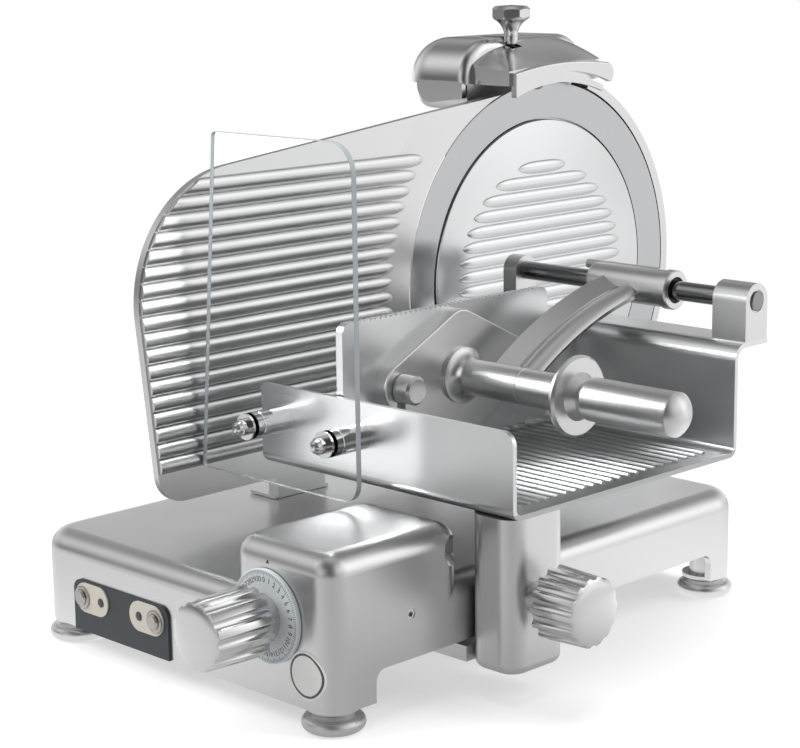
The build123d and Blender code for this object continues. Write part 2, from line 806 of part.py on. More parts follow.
stop_lug_radius = 4.0
stop_lug_reach = 21.0
stop_lug_y = pusher_rod_y + 15.2
stop_lug_z = pusher_rod_z + 10.0
sleeve_collar_radius = 16.5
sleeve_collar = 8.0
with BuildPart() as pusher_arm:
    arched_arm()
    rod_x((bracket_right, guard_face), tube_y, tube_z, tube_radius + running / 2, Mode.SUBTRACT)
    rod_x((sleeve_left, sleeve_right), pusher_rod_y, pusher_rod_z, sleeve_radius)
    fillet(pusher_arm.faces().sort_by(Axis.X)[0].edges(), 3.0)
    rod_x((sleeve_right - sleeve_collar, sleeve_right), pusher_rod_y, pusher_rod_z, sleeve_collar_radius)
    chamfer(pusher_arm.faces().sort_by(Axis.X)[-1].edges(), 1.0)
    rod_x((sleeve_left - stop_lug_reach, push_arm_right), stop_lug_y, stop_lug_z, stop_lug_radius)
    rod_x((sleeve_left - stop_lug_reach - 1, sleeve_right + 1), pusher_rod_y, pusher_rod_z,
          rod_bush_radius + running, Mode.SUBTRACT)
keep(pusher_arm, "pusher_arm")

seam = 0.8
seam_depth = 0.6
tube_flange_radius = 23.0
tube_flange_sheet = 3.0
tube_flare = 15.0
tube_seam = bracket_right + 0.58 * tube_length
with BuildPart() as pusher_tube:
    flare_start = bracket_right + tube_flange_sheet
    flare_end = bracket_right + tube_flare
    with BuildSketch(Plane(origin=(0, tube_y, tube_z), x_dir=(1, 0, 0), z_dir=(0, -1, 0))):
        with BuildLine():
            Polyline((flare_end, tube_radius), (tube_seam, tube_radius),
                     (tube_seam + seam / 2, tube_radius - seam_depth), (tube_seam + seam, tube_radius),
                     (guard_face, tube_radius), (guard_face, 0),
                     (bracket_right, 0), (bracket_right, tube_flange_radius),
                     (flare_start, tube_flange_radius))
            ThreePointArc(
                (flare_start, tube_flange_radius), (flare_start + 3.6, tube_radius + 2.6),
                (flare_end, tube_radius),
            )
        make_face()
    revolve(axis=Axis((0, tube_y, tube_z), (1, 0, 0)))
keep(pusher_tube, "pusher_tube")

with BuildPart() as hand_guard:
    turned_x(
        tube_y, tube_z,
        (guard_face, 0), (guard_face, hand_guard_radius - 2), (guard_face + 2, hand_guard_radius),
        (guard_face + guard_thickness - 2, hand_guard_radius),
        (guard_face + guard_thickness, hand_guard_radius - 2), (guard_face + guard_thickness, 0),
    )
keep(hand_guard, "hand_guard")

grip_start = guard_face + guard_thickness
grip_end = grip_start + grip_length
grip_cap = 9.0
grip_neck = 4.0
with BuildPart() as pusher_handle:
    cap_seam = grip_end - grip_cap
    dome_radius = (grip_radius ** 2 + (grip_cap - seam) ** 2) / (2 * (grip_cap - seam))
    with Locations(Location((grip_end - dome_radius, tube_y, tube_z), (0, 90, 0))):
        Sphere(dome_radius)
    rod_x((cap_seam + seam / 2, grip_end + 1), tube_y, tube_z, grip_radius, Mode.INTERSECT)
    turned_x(
        tube_y, tube_z,
        (grip_start, 0), (grip_start, grip_radius + 2), (grip_start + 3, grip_radius - 1),
        (grip_start + 6, grip_radius - grip_neck), (grip_start + 9, grip_radius - grip_neck),
        (grip_start + 13, grip_radius), (cap_seam, grip_radius),
        (cap_seam + seam / 2, grip_radius - seam_depth), (cap_seam + seam / 2, 0),
    )
keep(pusher_handle, "pusher_handle")

bracket_half_width = 112.0
bracket_half_height = 56.0
lock_pin_y = tube_y - 69.0
lock_pin_radius = 4.0
lock_head_radius = 11.5
lock_head_gap = 0.5
lock_head_length = 17.0
with BuildPart() as plate_bracket:
    with BuildSketch(facing_right(plate_right_face)):
        with BuildLine():
            FilletPolyline(
                (tube_y - bracket_half_width, tube_z), (tube_y, tube_z - bracket_half_height),
                (tube_y + bracket_half_width, tube_z), (tube_y, tube_z + bracket_half_height),
                radius=20.0, close=True,
            )
        make_face()
        with Locations((lock_pin_y, tube_z)):
            Circle(lock_pin_radius + running, mode=Mode.SUBTRACT)
        with Locations((lock_pin_y, tube_z - bracket_half_height / 2)):
            Rectangle(2 * (lock_pin_radius + running), bracket_half_height, mode=Mode.SUBTRACT)
    extrude(amount=bracket_sheet)
    fillet(plate_bracket.faces().sort_by(Axis.X)[-1].outer_wire().edges(), 1.5)
keep(plate_bracket, "plate_bracket")

plate_top = tube_z + plate_height / 2
plate_low = tube_z - plate_height / 2
plate_front = tube_y - plate_width / 2
plate_rear = tube_y + plate_width / 2
plate_swing_corner = 58.0
plate_corner = 9.0
tooth = 2.6
tooth_pitch = 5.6
teeth_along = int((plate_width - 30) / tooth_pitch)
teeth_below = int((plate_width - plate_swing_corner - 20) / (3 * tooth_pitch))
with BuildPart() as pusher_plate:
    with BuildSketch(facing_right(plate_right_face - plate_sheet)):
        with BuildLine():
            FilletPolyline(
                (plate_front, plate_low), (plate_rear, plate_low), (plate_rear, plate_top),
                (plate_front, plate_top), close=True,
                radius=[plate_swing_corner, plate_corner, plate_corner, plate_corner],
            )
        make_face()
        with Locations((tube_y, plate_top)):
            with GridLocations(tooth_pitch, 1, teeth_along, 1):
                Rectangle(tooth, tooth, rotation=45, mode=Mode.SUBTRACT)
        with Locations((tube_y + plate_swing_corner / 2 - plate_corner / 2, plate_low)):
            with GridLocations(3 * tooth_pitch, 1, teeth_below, 1):
                Trapezoid(7.0, 5.4, 70, rotation=180)
        with Locations((lock_pin_y, tube_z)):
            Circle(lock_pin_radius + running, mode=Mode.SUBTRACT)
    extrude(amount=plate_sheet)
keep(pusher_plate, "pusher_plate")

lock_head_start = bracket_right + lock_head_gap
lock_pin_face = lock_head_start + lock_head_length
with BuildPart() as plate_lock_pin:
    turned_x(
        lock_pin_y, tube_z,
        (plate_right_face - plate_sheet + 1, 0), (plate_right_face - plate_sheet + 1, lock_pin_radius),
        (lock_head_start, lock_pin_radius), (lock_head_start, lock_head_radius - 1),
        (lock_head_start + 1, lock_head_radius), (lock_pin_face - 2, lock_head_radius),
        (lock_pin_face, lock_head_radius - 2), (lock_pin_face, 0),
    )
keep(plate_lock_pin, "plate_lock_pin")

# Clear guard on two studs in front of the tray
stud_sides = (57.6, 147.0)
stud_z = tray_bottom + 39.5
stud_radius = 10.5
stud_screw_radius = 4.0
glass_back = tray_front - glass_stand_off
glass_face = glass_back - glass_sheet
glass_low = tray_bottom - 2.0
glass_lean = 23.0
glass_left = knife_x + glass_gap
with BuildPart() as guard_glass:
    with BuildSketch(facing_front(glass_back)):
        with BuildLine():
            FilletPolyline(
                (glass_left, glass_low), (glass_left + glass_width, glass_low),
                (glass_left + glass_width, glass_low + glass_height),
                (glass_left + glass_lean, glass_low + glass_height),
                radius=[4.0, 16.0, 24.0, 4.0], close=True,
            )
        make_face()
        with Locations(*((knife_x + side, stud_z) for side in stud_sides)):
            Circle(stud_screw_radius + running, mode=Mode.SUBTRACT)
    extrude(amount=glass_sheet)
keep(guard_glass, "guard_glass")

with BuildPart() as guard_studs:
    for side in stud_sides:
        turned_y(
            knife_x + side, stud_z,
            (tray_front, 0), (tray_front, stud_radius), (glass_back + 7, stud_radius),
            (glass_back + 6.5, stud_radius - 0.8), (glass_back + 6, stud_radius),
            (glass_back, stud_radius), (glass_back, stud_screw_radius),
            (glass_face - 8, stud_screw_radius), (glass_face - 8, 0),
        )
keep(guard_studs, "guard_studs")

with BuildPart() as guard_nuts:
    for side in stud_sides:
        turned_y(
            knife_x + side, stud_z,
            (glass_face, stud_screw_radius + running), (glass_face, 10.5), (glass_face - 2, 10.5),
            (glass_face - 2, 6.8), (glass_face - 8, 6.8), (glass_face - 8.5, 6.0), (glass_face - 11, 5.0),
            (glass_face - 13, 2.8), (glass_face - 13.6, 0),
            (glass_face - 8.2, 0), (glass_face - 8.2, stud_screw_radius + running),
        )
keep(guard_nuts, "guard_nuts")

# Gauge plate with horizontal ribs that follow the knife
gauge_front_reach = 480.0
gauge_foot_reach = 454.0
gauge_rear_reach = 52.0
gauge_low = knife_z - 134.0
gauge_top_front = knife_z + 119.6
gauge_top_rear = knife_z + 167.5
gauge_corner = 105.0
gauge_edge = 3.0
gauge_rib_width = 11.8
gauge_rib_nose = 16.0
gauge_rib_heel = 6.0
gauge_rib_top = knife_z + 117.5
gauge_rib_end = knife_radius + 15.0
gauge_face = gauge_back + gauge_sheet
gauge_lean = math.atan2(gauge_front_reach - gauge_foot_reach, gauge_top_front - gauge_low)
gauge_slope = math.atan2(gauge_top_rear - gauge_top_front, gauge_front_reach - gauge_rear_reach)
gauge_corner_y = (knife_y - gauge_front_reach
                  + gauge_corner * (math.cos(gauge_slope) + math.sin(gauge_lean)))
gauge_corner_z = gauge_top_front + gauge_corner * (math.sin(gauge_slope) - math.cos(gauge_lean))


def gauge_rib_start(z):
    """Front end of a gauge rib at height z, inside the plate's leaning front edge and round corner."""
    if z > gauge_corner_z:
        inside = gauge_corner - gauge_edge
        return gauge_corner_y - math.sqrt(inside ** 2 - (z - gauge_corner_z) ** 2)
    return knife_y - gauge_foot_reach - math.tan(gauge_lean) * (z - gauge_low) + gauge_edge


def half_round_ribs(face, height, width, heel, nose, rows):
    """Half-round ribs along Y with rounded ends on a face square to X. Rows are (front, rear, z)."""
    radius = (width ** 2 / 4 + height ** 2) / (2 * height)
    axis_x = face + height - radius
    reach = radius * 1.1
    with BuildPart() as ribs:
        for front, rear, z in rows:
            with BuildSketch(Plane(origin=(axis_x, 0, z), x_dir=(0, 1, 0), z_dir=(1, 0, 0))):
                with BuildLine():
                    ThreePointArc((front, 0), (front + 0.3 * heel, 0.75 * radius), (front + heel, radius))
                    Line((front + heel, radius), (rear - nose, radius))
                    ThreePointArc((rear - nose, radius), (rear - 0.4 * nose, 0.72 * radius), (rear, 0))
                    Line((rear, 0), (front, 0))
                make_face()
            revolve(axis=Axis((axis_x, 0, z), (0, 1, 0)))
        low = min(row[2] for row in rows) - reach
        high = max(row[2] for row in rows) + reach
        front_end = min(row[0] for row in rows) - 1
        rear_end = max(row[1] for row in rows) + 1
        box((face - 0.5, face + height + 1), (front_end, rear_end), (low, high), Mode.INTERSECT)
    return ribs.part


def gauge_rows():
    """Front end, rear end and height of each gauge rib."""
    rows = []
    for rib in range(gauge_rib_count):
        z = gauge_rib_top - rib * gauge_rib_pitch
        rear = knife_y - math.sqrt(gauge_rib_end ** 2 - (z - knife_z) ** 2)
        rows.append((gauge_rib_start(z), rear, z))
    return rows


with BuildPart() as gauge_plate:
    with BuildSketch(facing_right(gauge_back)):
        with BuildLine():
            FilletPolyline(
                (knife_y - gauge_foot_reach, gauge_low), (knife_y - gauge_rear_reach, gauge_low),
                (knife_y - gauge_rear_reach, gauge_top_rear),
                (knife_y - gauge_front_reach, gauge_top_front),
                radius=[26.0, 0, 0, gauge_corner], close=True,
            )
        make_face()
        with Locations((knife_y, knife_z)):
            Circle(knife_radius + gauge_gap, mode=Mode.SUBTRACT)
    extrude(amount=gauge_sheet)
    add(half_round_ribs(gauge_face, gauge_rib, gauge_rib_width, gauge_rib_heel, gauge_rib_nose,
                        gauge_rows()))
keep(gauge_plate, "gauge_plate")

# Gauge guide rod inside the base
with BuildPart() as gauge_guide_rod:
    rod_x(gauge_rod_ends, gauge_rod_y, gauge_rod_z, gauge_rod_radius)
keep(gauge_guide_rod, "gauge_guide_rod")

# Thickness knob, dial, and scroll cam on its shaft
dial_gap = 0.5
dial_sheet = 3.5
dial_face = base_front - dial_gap - dial_sheet
knob_flutes = 12
knob_edge = 6.0
knob_hub_radius = 17.0
dial_bore = thickness_shaft_radius + running / 2
cam_front = base_front + 93.0
cam_rear = cam_front + 10.0
groove_depth = 6.0
groove_half = follower_radius + 0.3
groove_margin = 24.0
groove_steps = 14


def groove_point(step, shift):
    """Point of the scroll groove, which opens evenly as the cam turns."""
    sweep_turn = dial_turn + 2 * groove_margin
    turn = sweep_turn * step / groove_steps - groove_margin
    radius = cam_start_radius + gauge_travel * turn / dial_turn + shift
    angle = math.radians(180 - turn)
    return (thickness_x + radius * math.cos(angle), thickness_z + radius * math.sin(angle))


with BuildPart() as thickness_dial:
    turned_y(
        thickness_x, thickness_z,
        (base_front - dial_gap, dial_bore), (base_front - dial_gap, dial_radius),
        (dial_face + 0.6, dial_radius), (dial_face, dial_radius - 0.6), (dial_face, dial_bore),
    )
keep(thickness_dial, "thickness_dial")

knob_face = dial_face - knob_length
with BuildPart() as thickness_knob:
    knob_start = Plane(
        origin=(thickness_x, dial_face - knob_gap, thickness_z), x_dir=(1, 0, 0), z_dir=(0, -1, 0)
    )
    with BuildSketch(knob_start):
        fluted(knob_radius, knob_flutes, 4.8, 3.8)
    extrude(amount=knob_length - knob_gap)
    with BuildSketch(Plane(origin=(thickness_x, 0, thickness_z), x_dir=(0, 1, 0), z_dir=(1, 0, 0))):
        with BuildLine():
            Polyline((dial_face, 0), (dial_face, knob_radius), (knob_face + knob_edge, knob_radius))
            ThreePointArc(
                (knob_face + knob_edge, knob_radius), (knob_face + 0.3 * knob_edge, 0.78 * knob_radius),
                (knob_face, 0),
            )
            Line((knob_face, 0), (dial_face, 0))
        make_face()
    revolve(axis=Axis((thickness_x, 0, thickness_z), (0, 1, 0)), mode=Mode.INTERSECT)
    rod_y((dial_face - knob_gap - 1, dial_face), thickness_x, thickness_z, knob_hub_radius)
    rod_y((dial_face - knob_length / 2, dial_face + 1), thickness_x, thickness_z, dial_bore, Mode.SUBTRACT)
keep(thickness_knob, "thickness_knob")

with BuildPart() as scroll_cam:
    rod_y((cam_front, cam_rear), thickness_x, thickness_z, cam_radius)
    with BuildSketch(facing_front(cam_rear)):
        with BuildLine():
            Spline(*(groove_point(step, -groove_half) for step in range(groove_steps + 1)))
            Line(groove_point(groove_steps, -groove_half), groove_point(groove_steps, groove_half))
            Spline(*(groove_point(step, groove_half) for step in range(groove_steps + 1)))
            Line(groove_point(0, -groove_half), groove_point(0, groove_half))
        make_face()
    extrude(amount=groove_depth, mode=Mode.SUBTRACT)
    rod_y((dial_face - knob_length / 2, cam_front), thickness_x, thickness_z, thickness_shaft_radius)
keep(scroll_cam, "scroll_cam")

follower_x = thickness_x - cam_start_radius
follower_bar_z = (thickness_z - 4.0, ceiling - 1.0)
follower_bar_y = (cam_rear + 1.5, cam_rear + 13.5)
gauge_bracket_top = knife_z - 40.0
gauge_slide_x = (knife_x - 52.0, knife_x - 8.0)
gauge_slide_half = 14.0
follower_bar_x = (gauge_back, gauge_back + 12.0)
slot_cover = 2.5
slot_cover_lap = 2.0

# Gauge slide: block on the rod, plate up to the gauge plate, and bar to the scroll
with BuildPart() as gauge_slide:
    box(gauge_slide_x, gauge_bracket_y, (gauge_rod_z - gauge_slide_half, gauge_rod_z + gauge_slide_half))
    fillet(gauge_slide.edges().filter_by(Axis.X), 4.0)
    with BuildSketch(facing_right(gauge_bracket_x[0])):
        with BuildLine():
            FilletPolyline(
                (gauge_bracket_y[0], gauge_rod_z), (gauge_bracket_y[1], gauge_rod_z),
                (gauge_bracket_y[1], gauge_bracket_top), (gauge_bracket_y[0], gauge_bracket_top),
                radius=[0, 0, 16.0, 16.0], close=True,
            )
        make_face()
    extrude(amount=gauge_bracket_sheet)
    box((gauge_slot[0][0] - slot_cover_lap, gauge_bracket_x[1]),
        (gauge_slot[1][0] - slot_cover_lap, gauge_slot[1][1] + slot_cover_lap),
        (platform_top + slack, platform_top + slack + slot_cover))
    box((follower_bar_x[0], follower_x + 5), follower_bar_y, follower_bar_z)
    box(follower_bar_x, (follower_bar_y[0], gauge_bracket_y[1]), follower_bar_z)
    rod_y((cam_rear - groove_depth + 0.6, follower_bar_y[1]), follower_x, thickness_z, follower_radius)
    rod_x((gauge_slide_x[0] - 1, gauge_slide_x[1] + 1), gauge_rod_y, gauge_rod_z,
          gauge_rod_radius + running, Mode.SUBTRACT)
keep(gauge_slide, "gauge_slide")

# Knife upright: hollow casting on the rear of the base, closed by a cover
upright_front_wall = 12.0
neck_half = 32.0
neck_top = knife_z + 152.0
hub_radius = 38.0
bearing_radius = 26.0
bearing_width = 15.0
hub_back = upright_front - 42.0


def upright_shape(x, inset):
    """Tombstone outline about the knife axis, standing on the platform."""
    half = upright_half - inset
    with BuildSketch(facing_right(x)) as shape:
        with BuildLine():
            Polyline((knife_y - half, knife_z), (knife_y - half, platform_top),
                     (knife_y + half, platform_top), (knife_y + half, knife_z))
            ThreePointArc((knife_y + half, knife_z), (knife_y, knife_z + half), (knife_y - half, knife_z))
        make_face()
    return shape.sketch


with BuildPart() as knife_upright:
    extrude(upright_shape(upright_back, 0), amount=upright_front - upright_back)
    box((upright_back, upright_front), (knife_y - neck_half, knife_y + neck_half), (knife_z, neck_top))
    extrude(upright_shape(upright_back, upright_wall),
            amount=upright_front - upright_back - upright_front_wall, mode=Mode.SUBTRACT)
    rod_x((hub_back, upright_front), knife_y, knife_z, hub_radius)
    rod_x((hub_back - 1, upright_front + 1), knife_y, knife_z, bearing_radius + running, Mode.SUBTRACT)
keep(knife_upright, "knife_upright")

cover_thickness = 3.0
cover_back = upright_back - cover_thickness
cover_screw_inset = upright_wall / 2
cover_screw_places = (
    (cover_screw_inset - upright_half, platform_top + 10.0),
    (upright_half - cover_screw_inset, platform_top + 10.0),
    (cover_screw_inset - upright_half, knife_z),
    (upright_half - cover_screw_inset, knife_z),
)
with BuildPart() as upright_cover:
    extrude(upright_shape(cover_back, 0), amount=cover_thickness)
    rod_x((cover_back - 1, upright_back + 1), knife_y, knife_z, tie_rod_radius + running, Mode.SUBTRACT)
keep(upright_cover, "upright_cover")

with BuildPart() as cover_screws:
    for side, height in cover_screw_places:
        turned_x(
            knife_y + side, height,
            (cover_back - 2.2, 0), (cover_back - 1.8, 2.2), (cover_back, 3.2), (cover_back, 0),
        )
keep(cover_screws, "cover_screws")

# Motor, pulleys and belt
pulley_left = upright_back + 1.5
pulley_right = pulley_left + pulley_width
motor_z = knife_z - motor_drop
motor_front = upright_front - upright_front_wall
motor_back = pulley_right + 2.0
motor_flange = 4.0
motor_shaft_radius = 7.0
motor_bore = motor_shaft_radius + running
with BuildPart() as drive_motor:
    turned_x(
        knife_y, motor_z,
        (motor_back, motor_bore), (motor_back, 20.0), (motor_back + 5, motor_radius - 4),
        (motor_back + 9, motor_radius), (motor_front - motor_flange, motor_radius),
        (motor_front - motor_flange, motor_radius + motor_flange),
        (motor_front, motor_radius + motor_flange), (motor_front, motor_bore),
    )
keep(drive_motor, "drive_motor")

with BuildPart() as motor_pulley:
    turned_x(
        knife_y, motor_z,
        (pulley_left, 0), (pulley_left, motor_pulley_radius), (pulley_right, motor_pulley_radius),
        (pulley_right, motor_shaft_radius), (motor_front - 3, motor_shaft_radius), (motor_front - 3, 0),
    )
keep(motor_pulley, "motor_pulley")

pulley_bore = spindle_radius + running / 2
with BuildPart() as knife_pulley:
    turned_x(
        knife_y, knife_z,
        (pulley_left, pulley_bore), (pulley_left, knife_pulley_radius), (pulley_right, knife_pulley_radius),
        (pulley_right, knife_pulley_radius - 8), (pulley_left + 4, knife_pulley_radius - 10),
        (pulley_left + 4, spindle_radius + 8), (pulley_right, spindle_radius + 7),
        (pulley_right, pulley_bore),
    )
keep(knife_pulley, "knife_pulley")

belt_margin = 0.5


def belt_loop(grow):
    """Outline round both pulleys, wider than they are by grow."""
    with BuildSketch(facing_right(pulley_left + belt_margin)) as loop:
        with Locations((knife_y, knife_z)):
            Circle(knife_pulley_radius + grow)
        with Locations((knife_y, motor_z)):
            Circle(motor_pulley_radius + grow)
        make_hull()
    return loop.sketch


with BuildPart() as drive_belt:
    extrude(belt_loop(belt_gap + belt_sheet), amount=pulley_width - 2 * belt_margin)
    extrude(belt_loop(belt_gap), amount=pulley_width - 2 * belt_margin, mode=Mode.SUBTRACT)
keep(drive_belt, "drive_belt")

# Knife, spindle, bearings, guard ring and cover
cover_proud = 1.0
knife_back = knife_x - knife_dish - cover_sheet - cover_proud
flange_radius = 45.0
flange_sheet = 6.0
flange_back = knife_back - knife_body - flange_sheet
recess_edge = cover_radius + cover_gap
hub_bore = spindle_radius + 2.0
with BuildPart() as knife:
    turned_x(
        knife_y, knife_z,
        (knife_x, knife_radius), (knife_x - knife_dish, recess_edge), (knife_back, recess_edge),
        (knife_back, hub_bore), (knife_back - knife_body, hub_bore),
        (knife_back - knife_body, knife_radius - 55.0), (knife_x - knife_body - 3, knife_radius - 25.0),
        (knife_x - 1.0, knife_radius - 0.3),
    )
keep(knife, "knife")

with BuildPart() as knife_spindle:
    turned_x(
        knife_y, knife_z,
        (pulley_left, tie_rod_radius + running), (pulley_left, spindle_radius),
        (flange_back, spindle_radius), (flange_back, flange_radius),
        (knife_back - knife_body, flange_radius),
        (knife_back - knife_body, hub_bore), (knife_back, hub_bore), (knife_back, tie_rod_radius + running),
    )
keep(knife_spindle, "knife_spindle")

with BuildPart() as knife_bearings:
    for bearing_left in (hub_back, upright_front - 2.0 - bearing_width):
        rod_x((bearing_left, bearing_left + bearing_width), knife_y, knife_z, bearing_radius)
    rod_x((hub_back - 1, upright_front), knife_y, knife_z, spindle_radius + running, Mode.SUBTRACT)
keep(knife_bearings, "knife_bearings")

guard_gap = 2.5
guard_rim = 9.0
guard_sheet = 4.0
guard_hub = flange_radius + 3.0
guard_arc = 139.0
guard_low_angle = -70.0
guard_inner = knife_radius + guard_gap
guard_edge = knife_x - 1.0
with BuildPart() as knife_guard:
    low = math.radians(guard_low_angle)
    guard_start = Plane(
        origin=(0, knife_y, knife_z), x_dir=(1, 0, 0), z_dir=(0, -math.sin(low), math.cos(low))
    )
    with BuildSketch(guard_start):
        Polygon(
            (upright_front, guard_hub), (upright_front + guard_sheet, guard_hub),
            (upright_front + guard_sheet, guard_inner), (guard_edge, guard_inner),
            (guard_edge, guard_inner + guard_rim), (upright_front, guard_inner + guard_rim), align=None,
        )
    revolve(axis=Axis((0, knife_y, knife_z), (1, 0, 0)), revolution_arc=guard_arc)
keep(knife_guard, "knife_guard")

cover_rib_pitch = 12.8
cover_rib_count = 15
cover_rib_reach = 100.0
cover_rib_height = 3.0
cover_rib_width = 11.8
cover_rib_end = 8.0
cover_front = knife_x - cover_proud


def cover_rows():
    """Front end, rear end and height of each cover rib, inside a circle."""
    rows = []
    for rib in range(cover_rib_count):
        shift = (rib - (cover_rib_count - 1) / 2) * cover_rib_pitch
        half = math.sqrt(cover_rib_reach ** 2 - shift ** 2)
        rows.append((knife_y - half, knife_y + half, knife_z + shift))
    return rows


with BuildPart() as knife_cover:
    turned_x(
        knife_y, knife_z,
        (cover_front - cover_sheet, 0), (cover_front - cover_sheet, cover_radius),
        (cover_front - 1.2, cover_radius), (cover_front, cover_radius - 2.0), (cover_front, 0),
    )
    add(half_round_ribs(cover_front, cover_rib_height, cover_rib_width, cover_rib_end, cover_rib_end,
                        cover_rows()))
keep(knife_cover, "knife_cover")

tie_knob_length = 20.0
tie_knob_radius = 22.0
tie_knob_left = cover_back - tie_knob_length
with BuildPart() as cover_tie_knob:
    tie_start = Plane(origin=(tie_knob_left, knife_y, knife_z), x_dir=(0, 1, 0), z_dir=(1, 0, 0))
    with BuildSketch(tie_start):
        fluted(tie_knob_radius, 10, 5.0, 2.5)
    extrude(amount=tie_knob_length)
    chamfer(cover_tie_knob.faces().sort_by(Axis.X)[0].edges(), 1.2)
    rod_x((cover_back, cover_front - cover_sheet), knife_y, knife_z, tie_rod_radius)
keep(cover_tie_knob, "cover_tie_knob")

# Sharpener over the knife: body on the upright's neck, hood, bracket, lever and stones
hood_z = knife_z + hood_base
hood_crest = knife_z + hood_top
hood_wall = 5.0
hood_corner = 40.0
hood_round = 37.0
hood_right_corner = 52.0
hood_front_y = knife_y - hood_front
hood_rear_y = knife_y + hood_rear
hood_left_x = knife_x - hood_left
hood_right_x = knife_x + hood_right
lobe_right_x = knife_x - lobe_right
lobe_end_round = 9.0
lip_front_y = hood_front_y + 12.0
slope_left_x = lobe_right_x - 14.0
slope_middle_x = (lobe_right_x + hood_right_x) / 2
body_inset = 7.0
body_corner = 32.0
body_round = 12.0
body_left_x = hood_left_x + body_inset
body_right_x = gauge_back - gauge_travel - 2.0
body_front_y = hood_front_y + body_inset
body_rear_y = hood_rear_y - body_inset
lever_x = knife_x - 65.0
lever_y = knife_y - 16.0
lever_z = hood_z + 13.0
lever_pin_radius = 3.0
lever_radius = 4.5
lever_hub_radius = 7.0
ear_radius = 8.0
ear_sheet = 5.0
ear_gap = 12.0
stone_radius = 11.5
stone_width = 10.0
stone_y = knife_y + 16.0
stone_z = hood_z + 9.0
stone_right = knife_x - 4.0
stone_axle_radius = 4.0
carrier_x = (body_right_x - 15.0, body_right_x)
carrier_half = 10.0

with BuildPart() as sharpener_body:
    with BuildSketch(Plane.XY.offset(neck_top)):
        with BuildLine():
            FilletPolyline(
                (body_left_x, body_front_y), (body_right_x, body_front_y), (body_right_x, body_rear_y),
                (body_left_x, body_rear_y), radius=[body_corner, 0, 0, body_corner], close=True,
            )
        make_face()
    extrude(amount=hood_z - neck_top)
    fillet(sharpener_body.faces().sort_by(Axis.Z)[0].edges(), body_round)
    for ear_y in (lever_y - ear_gap / 2 - ear_sheet, lever_y + ear_gap / 2):
        box((lever_x - ear_radius, lever_x + ear_radius), (ear_y, ear_y + ear_sheet), (hood_z - 1, lever_z))
        rod_y((ear_y, ear_y + ear_sheet), lever_x, lever_z, ear_radius)
    rod_y((lever_y - 2 * ear_gap, lever_y + 2 * ear_gap), lever_x, lever_z, lever_pin_radius + running,
          Mode.SUBTRACT)
    box(carrier_x, (stone_y - carrier_half, stone_y + carrier_half), (hood_z - 1, stone_z + carrier_half))
    rod_x((carrier_x[0] - 1, carrier_x[1] + 1), stone_y, stone_z, stone_axle_radius + running,
          Mode.SUBTRACT)
keep(sharpener_body, "sharpener_body")


def hood_lobe(inset):
    """Round left lobe of the hood, open to the slope on its right."""
    with BuildPart() as lobe:
        left = hood_left_x + inset
        right = lobe_right_x - inset / 2
        front = hood_front_y + inset
        rear = hood_rear_y - inset
        with BuildSketch(Plane.XY.offset(hood_z - inset)):
            with BuildLine():
                FilletPolyline(
                    (left, front), (right, front), (right, rear), (left, rear), close=True,
                    radius=[hood_corner - inset, 0, 0, hood_corner - inset],
                )
            make_face()
        extrude(amount=hood_crest - hood_z)
        fillet(lobe.faces().sort_by(Axis.Z)[-1].edges().sort_by(Axis.X)[:-1], hood_round - inset)
        end_edges = lobe.faces().sort_by(Axis.X)[-1].edges().sort_by(Axis.Z)
        fillet(end_edges[1:], lobe_end_round - inset)
    return lobe.part


# Height of the slope over the hood's base at its right, middle and left, at each place along Y
slope_sections = (
    (lip_front_y, 13.0, 15.0, 21.0),
    (knife_y - 16.0, 17.0, 26.0, 38.0),
    (knife_y + 26.0, 18.5, 30.0, 39.5),
    (knife_y + 62.0, 15.0, 26.0, 36.0),
    (hood_rear_y, 2.0, 4.0, 6.0),
)


def hood_slope():
    """Slope from the lobe down to the bracket, drawn as sections along Y."""
    with BuildPart() as slope:
        for y, right_rise, middle_rise, left_rise in slope_sections:
            with BuildSketch(facing_front(y)):
                with BuildLine():
                    Polyline((slope_left_x, hood_z + left_rise), (slope_left_x, hood_z),
                             (hood_right_x, hood_z), (hood_right_x, hood_z + right_rise))
                    ThreePointArc(
                        (hood_right_x, hood_z + right_rise), (slope_middle_x, hood_z + middle_rise),
                        (slope_left_x, hood_z + left_rise),
                    )
                make_face()
        loft()
        with BuildSketch(Plane.XY.offset(hood_z)):
            with BuildLine():
                FilletPolyline(
                    (slope_left_x, lip_front_y), (hood_right_x, lip_front_y), (hood_right_x, hood_rear_y),
                    (slope_left_x, hood_rear_y), radius=[0, 0, hood_right_corner, 0], close=True,
                )
            make_face()
        extrude(amount=hood_crest - hood_z, mode=Mode.INTERSECT)
    return slope.part


hone_radius = 10.0
hone_x = (knife_x + 3.0, knife_x + 8.0)
hone_y = knife_y - 16.0
hone_z = hood_z + 4.0
hone_axle_radius = 3.0
hone_boss_radius = 7.0
hone_boss_left = hone_x[1] + 1.0
hood_inner_right = hood_right_x - hood_wall
slot_x = (lever_x + 3.0, lever_x + 48.0)
slot_half = 6.5
pocket_gap = 2.0
skirt_low = knife_z + 158.7
skirt_right_low = knife_z + 170.0
skirt_left_x = hood_left_x + 30.0
skirt_foot_x = hood_left_x + 47.0

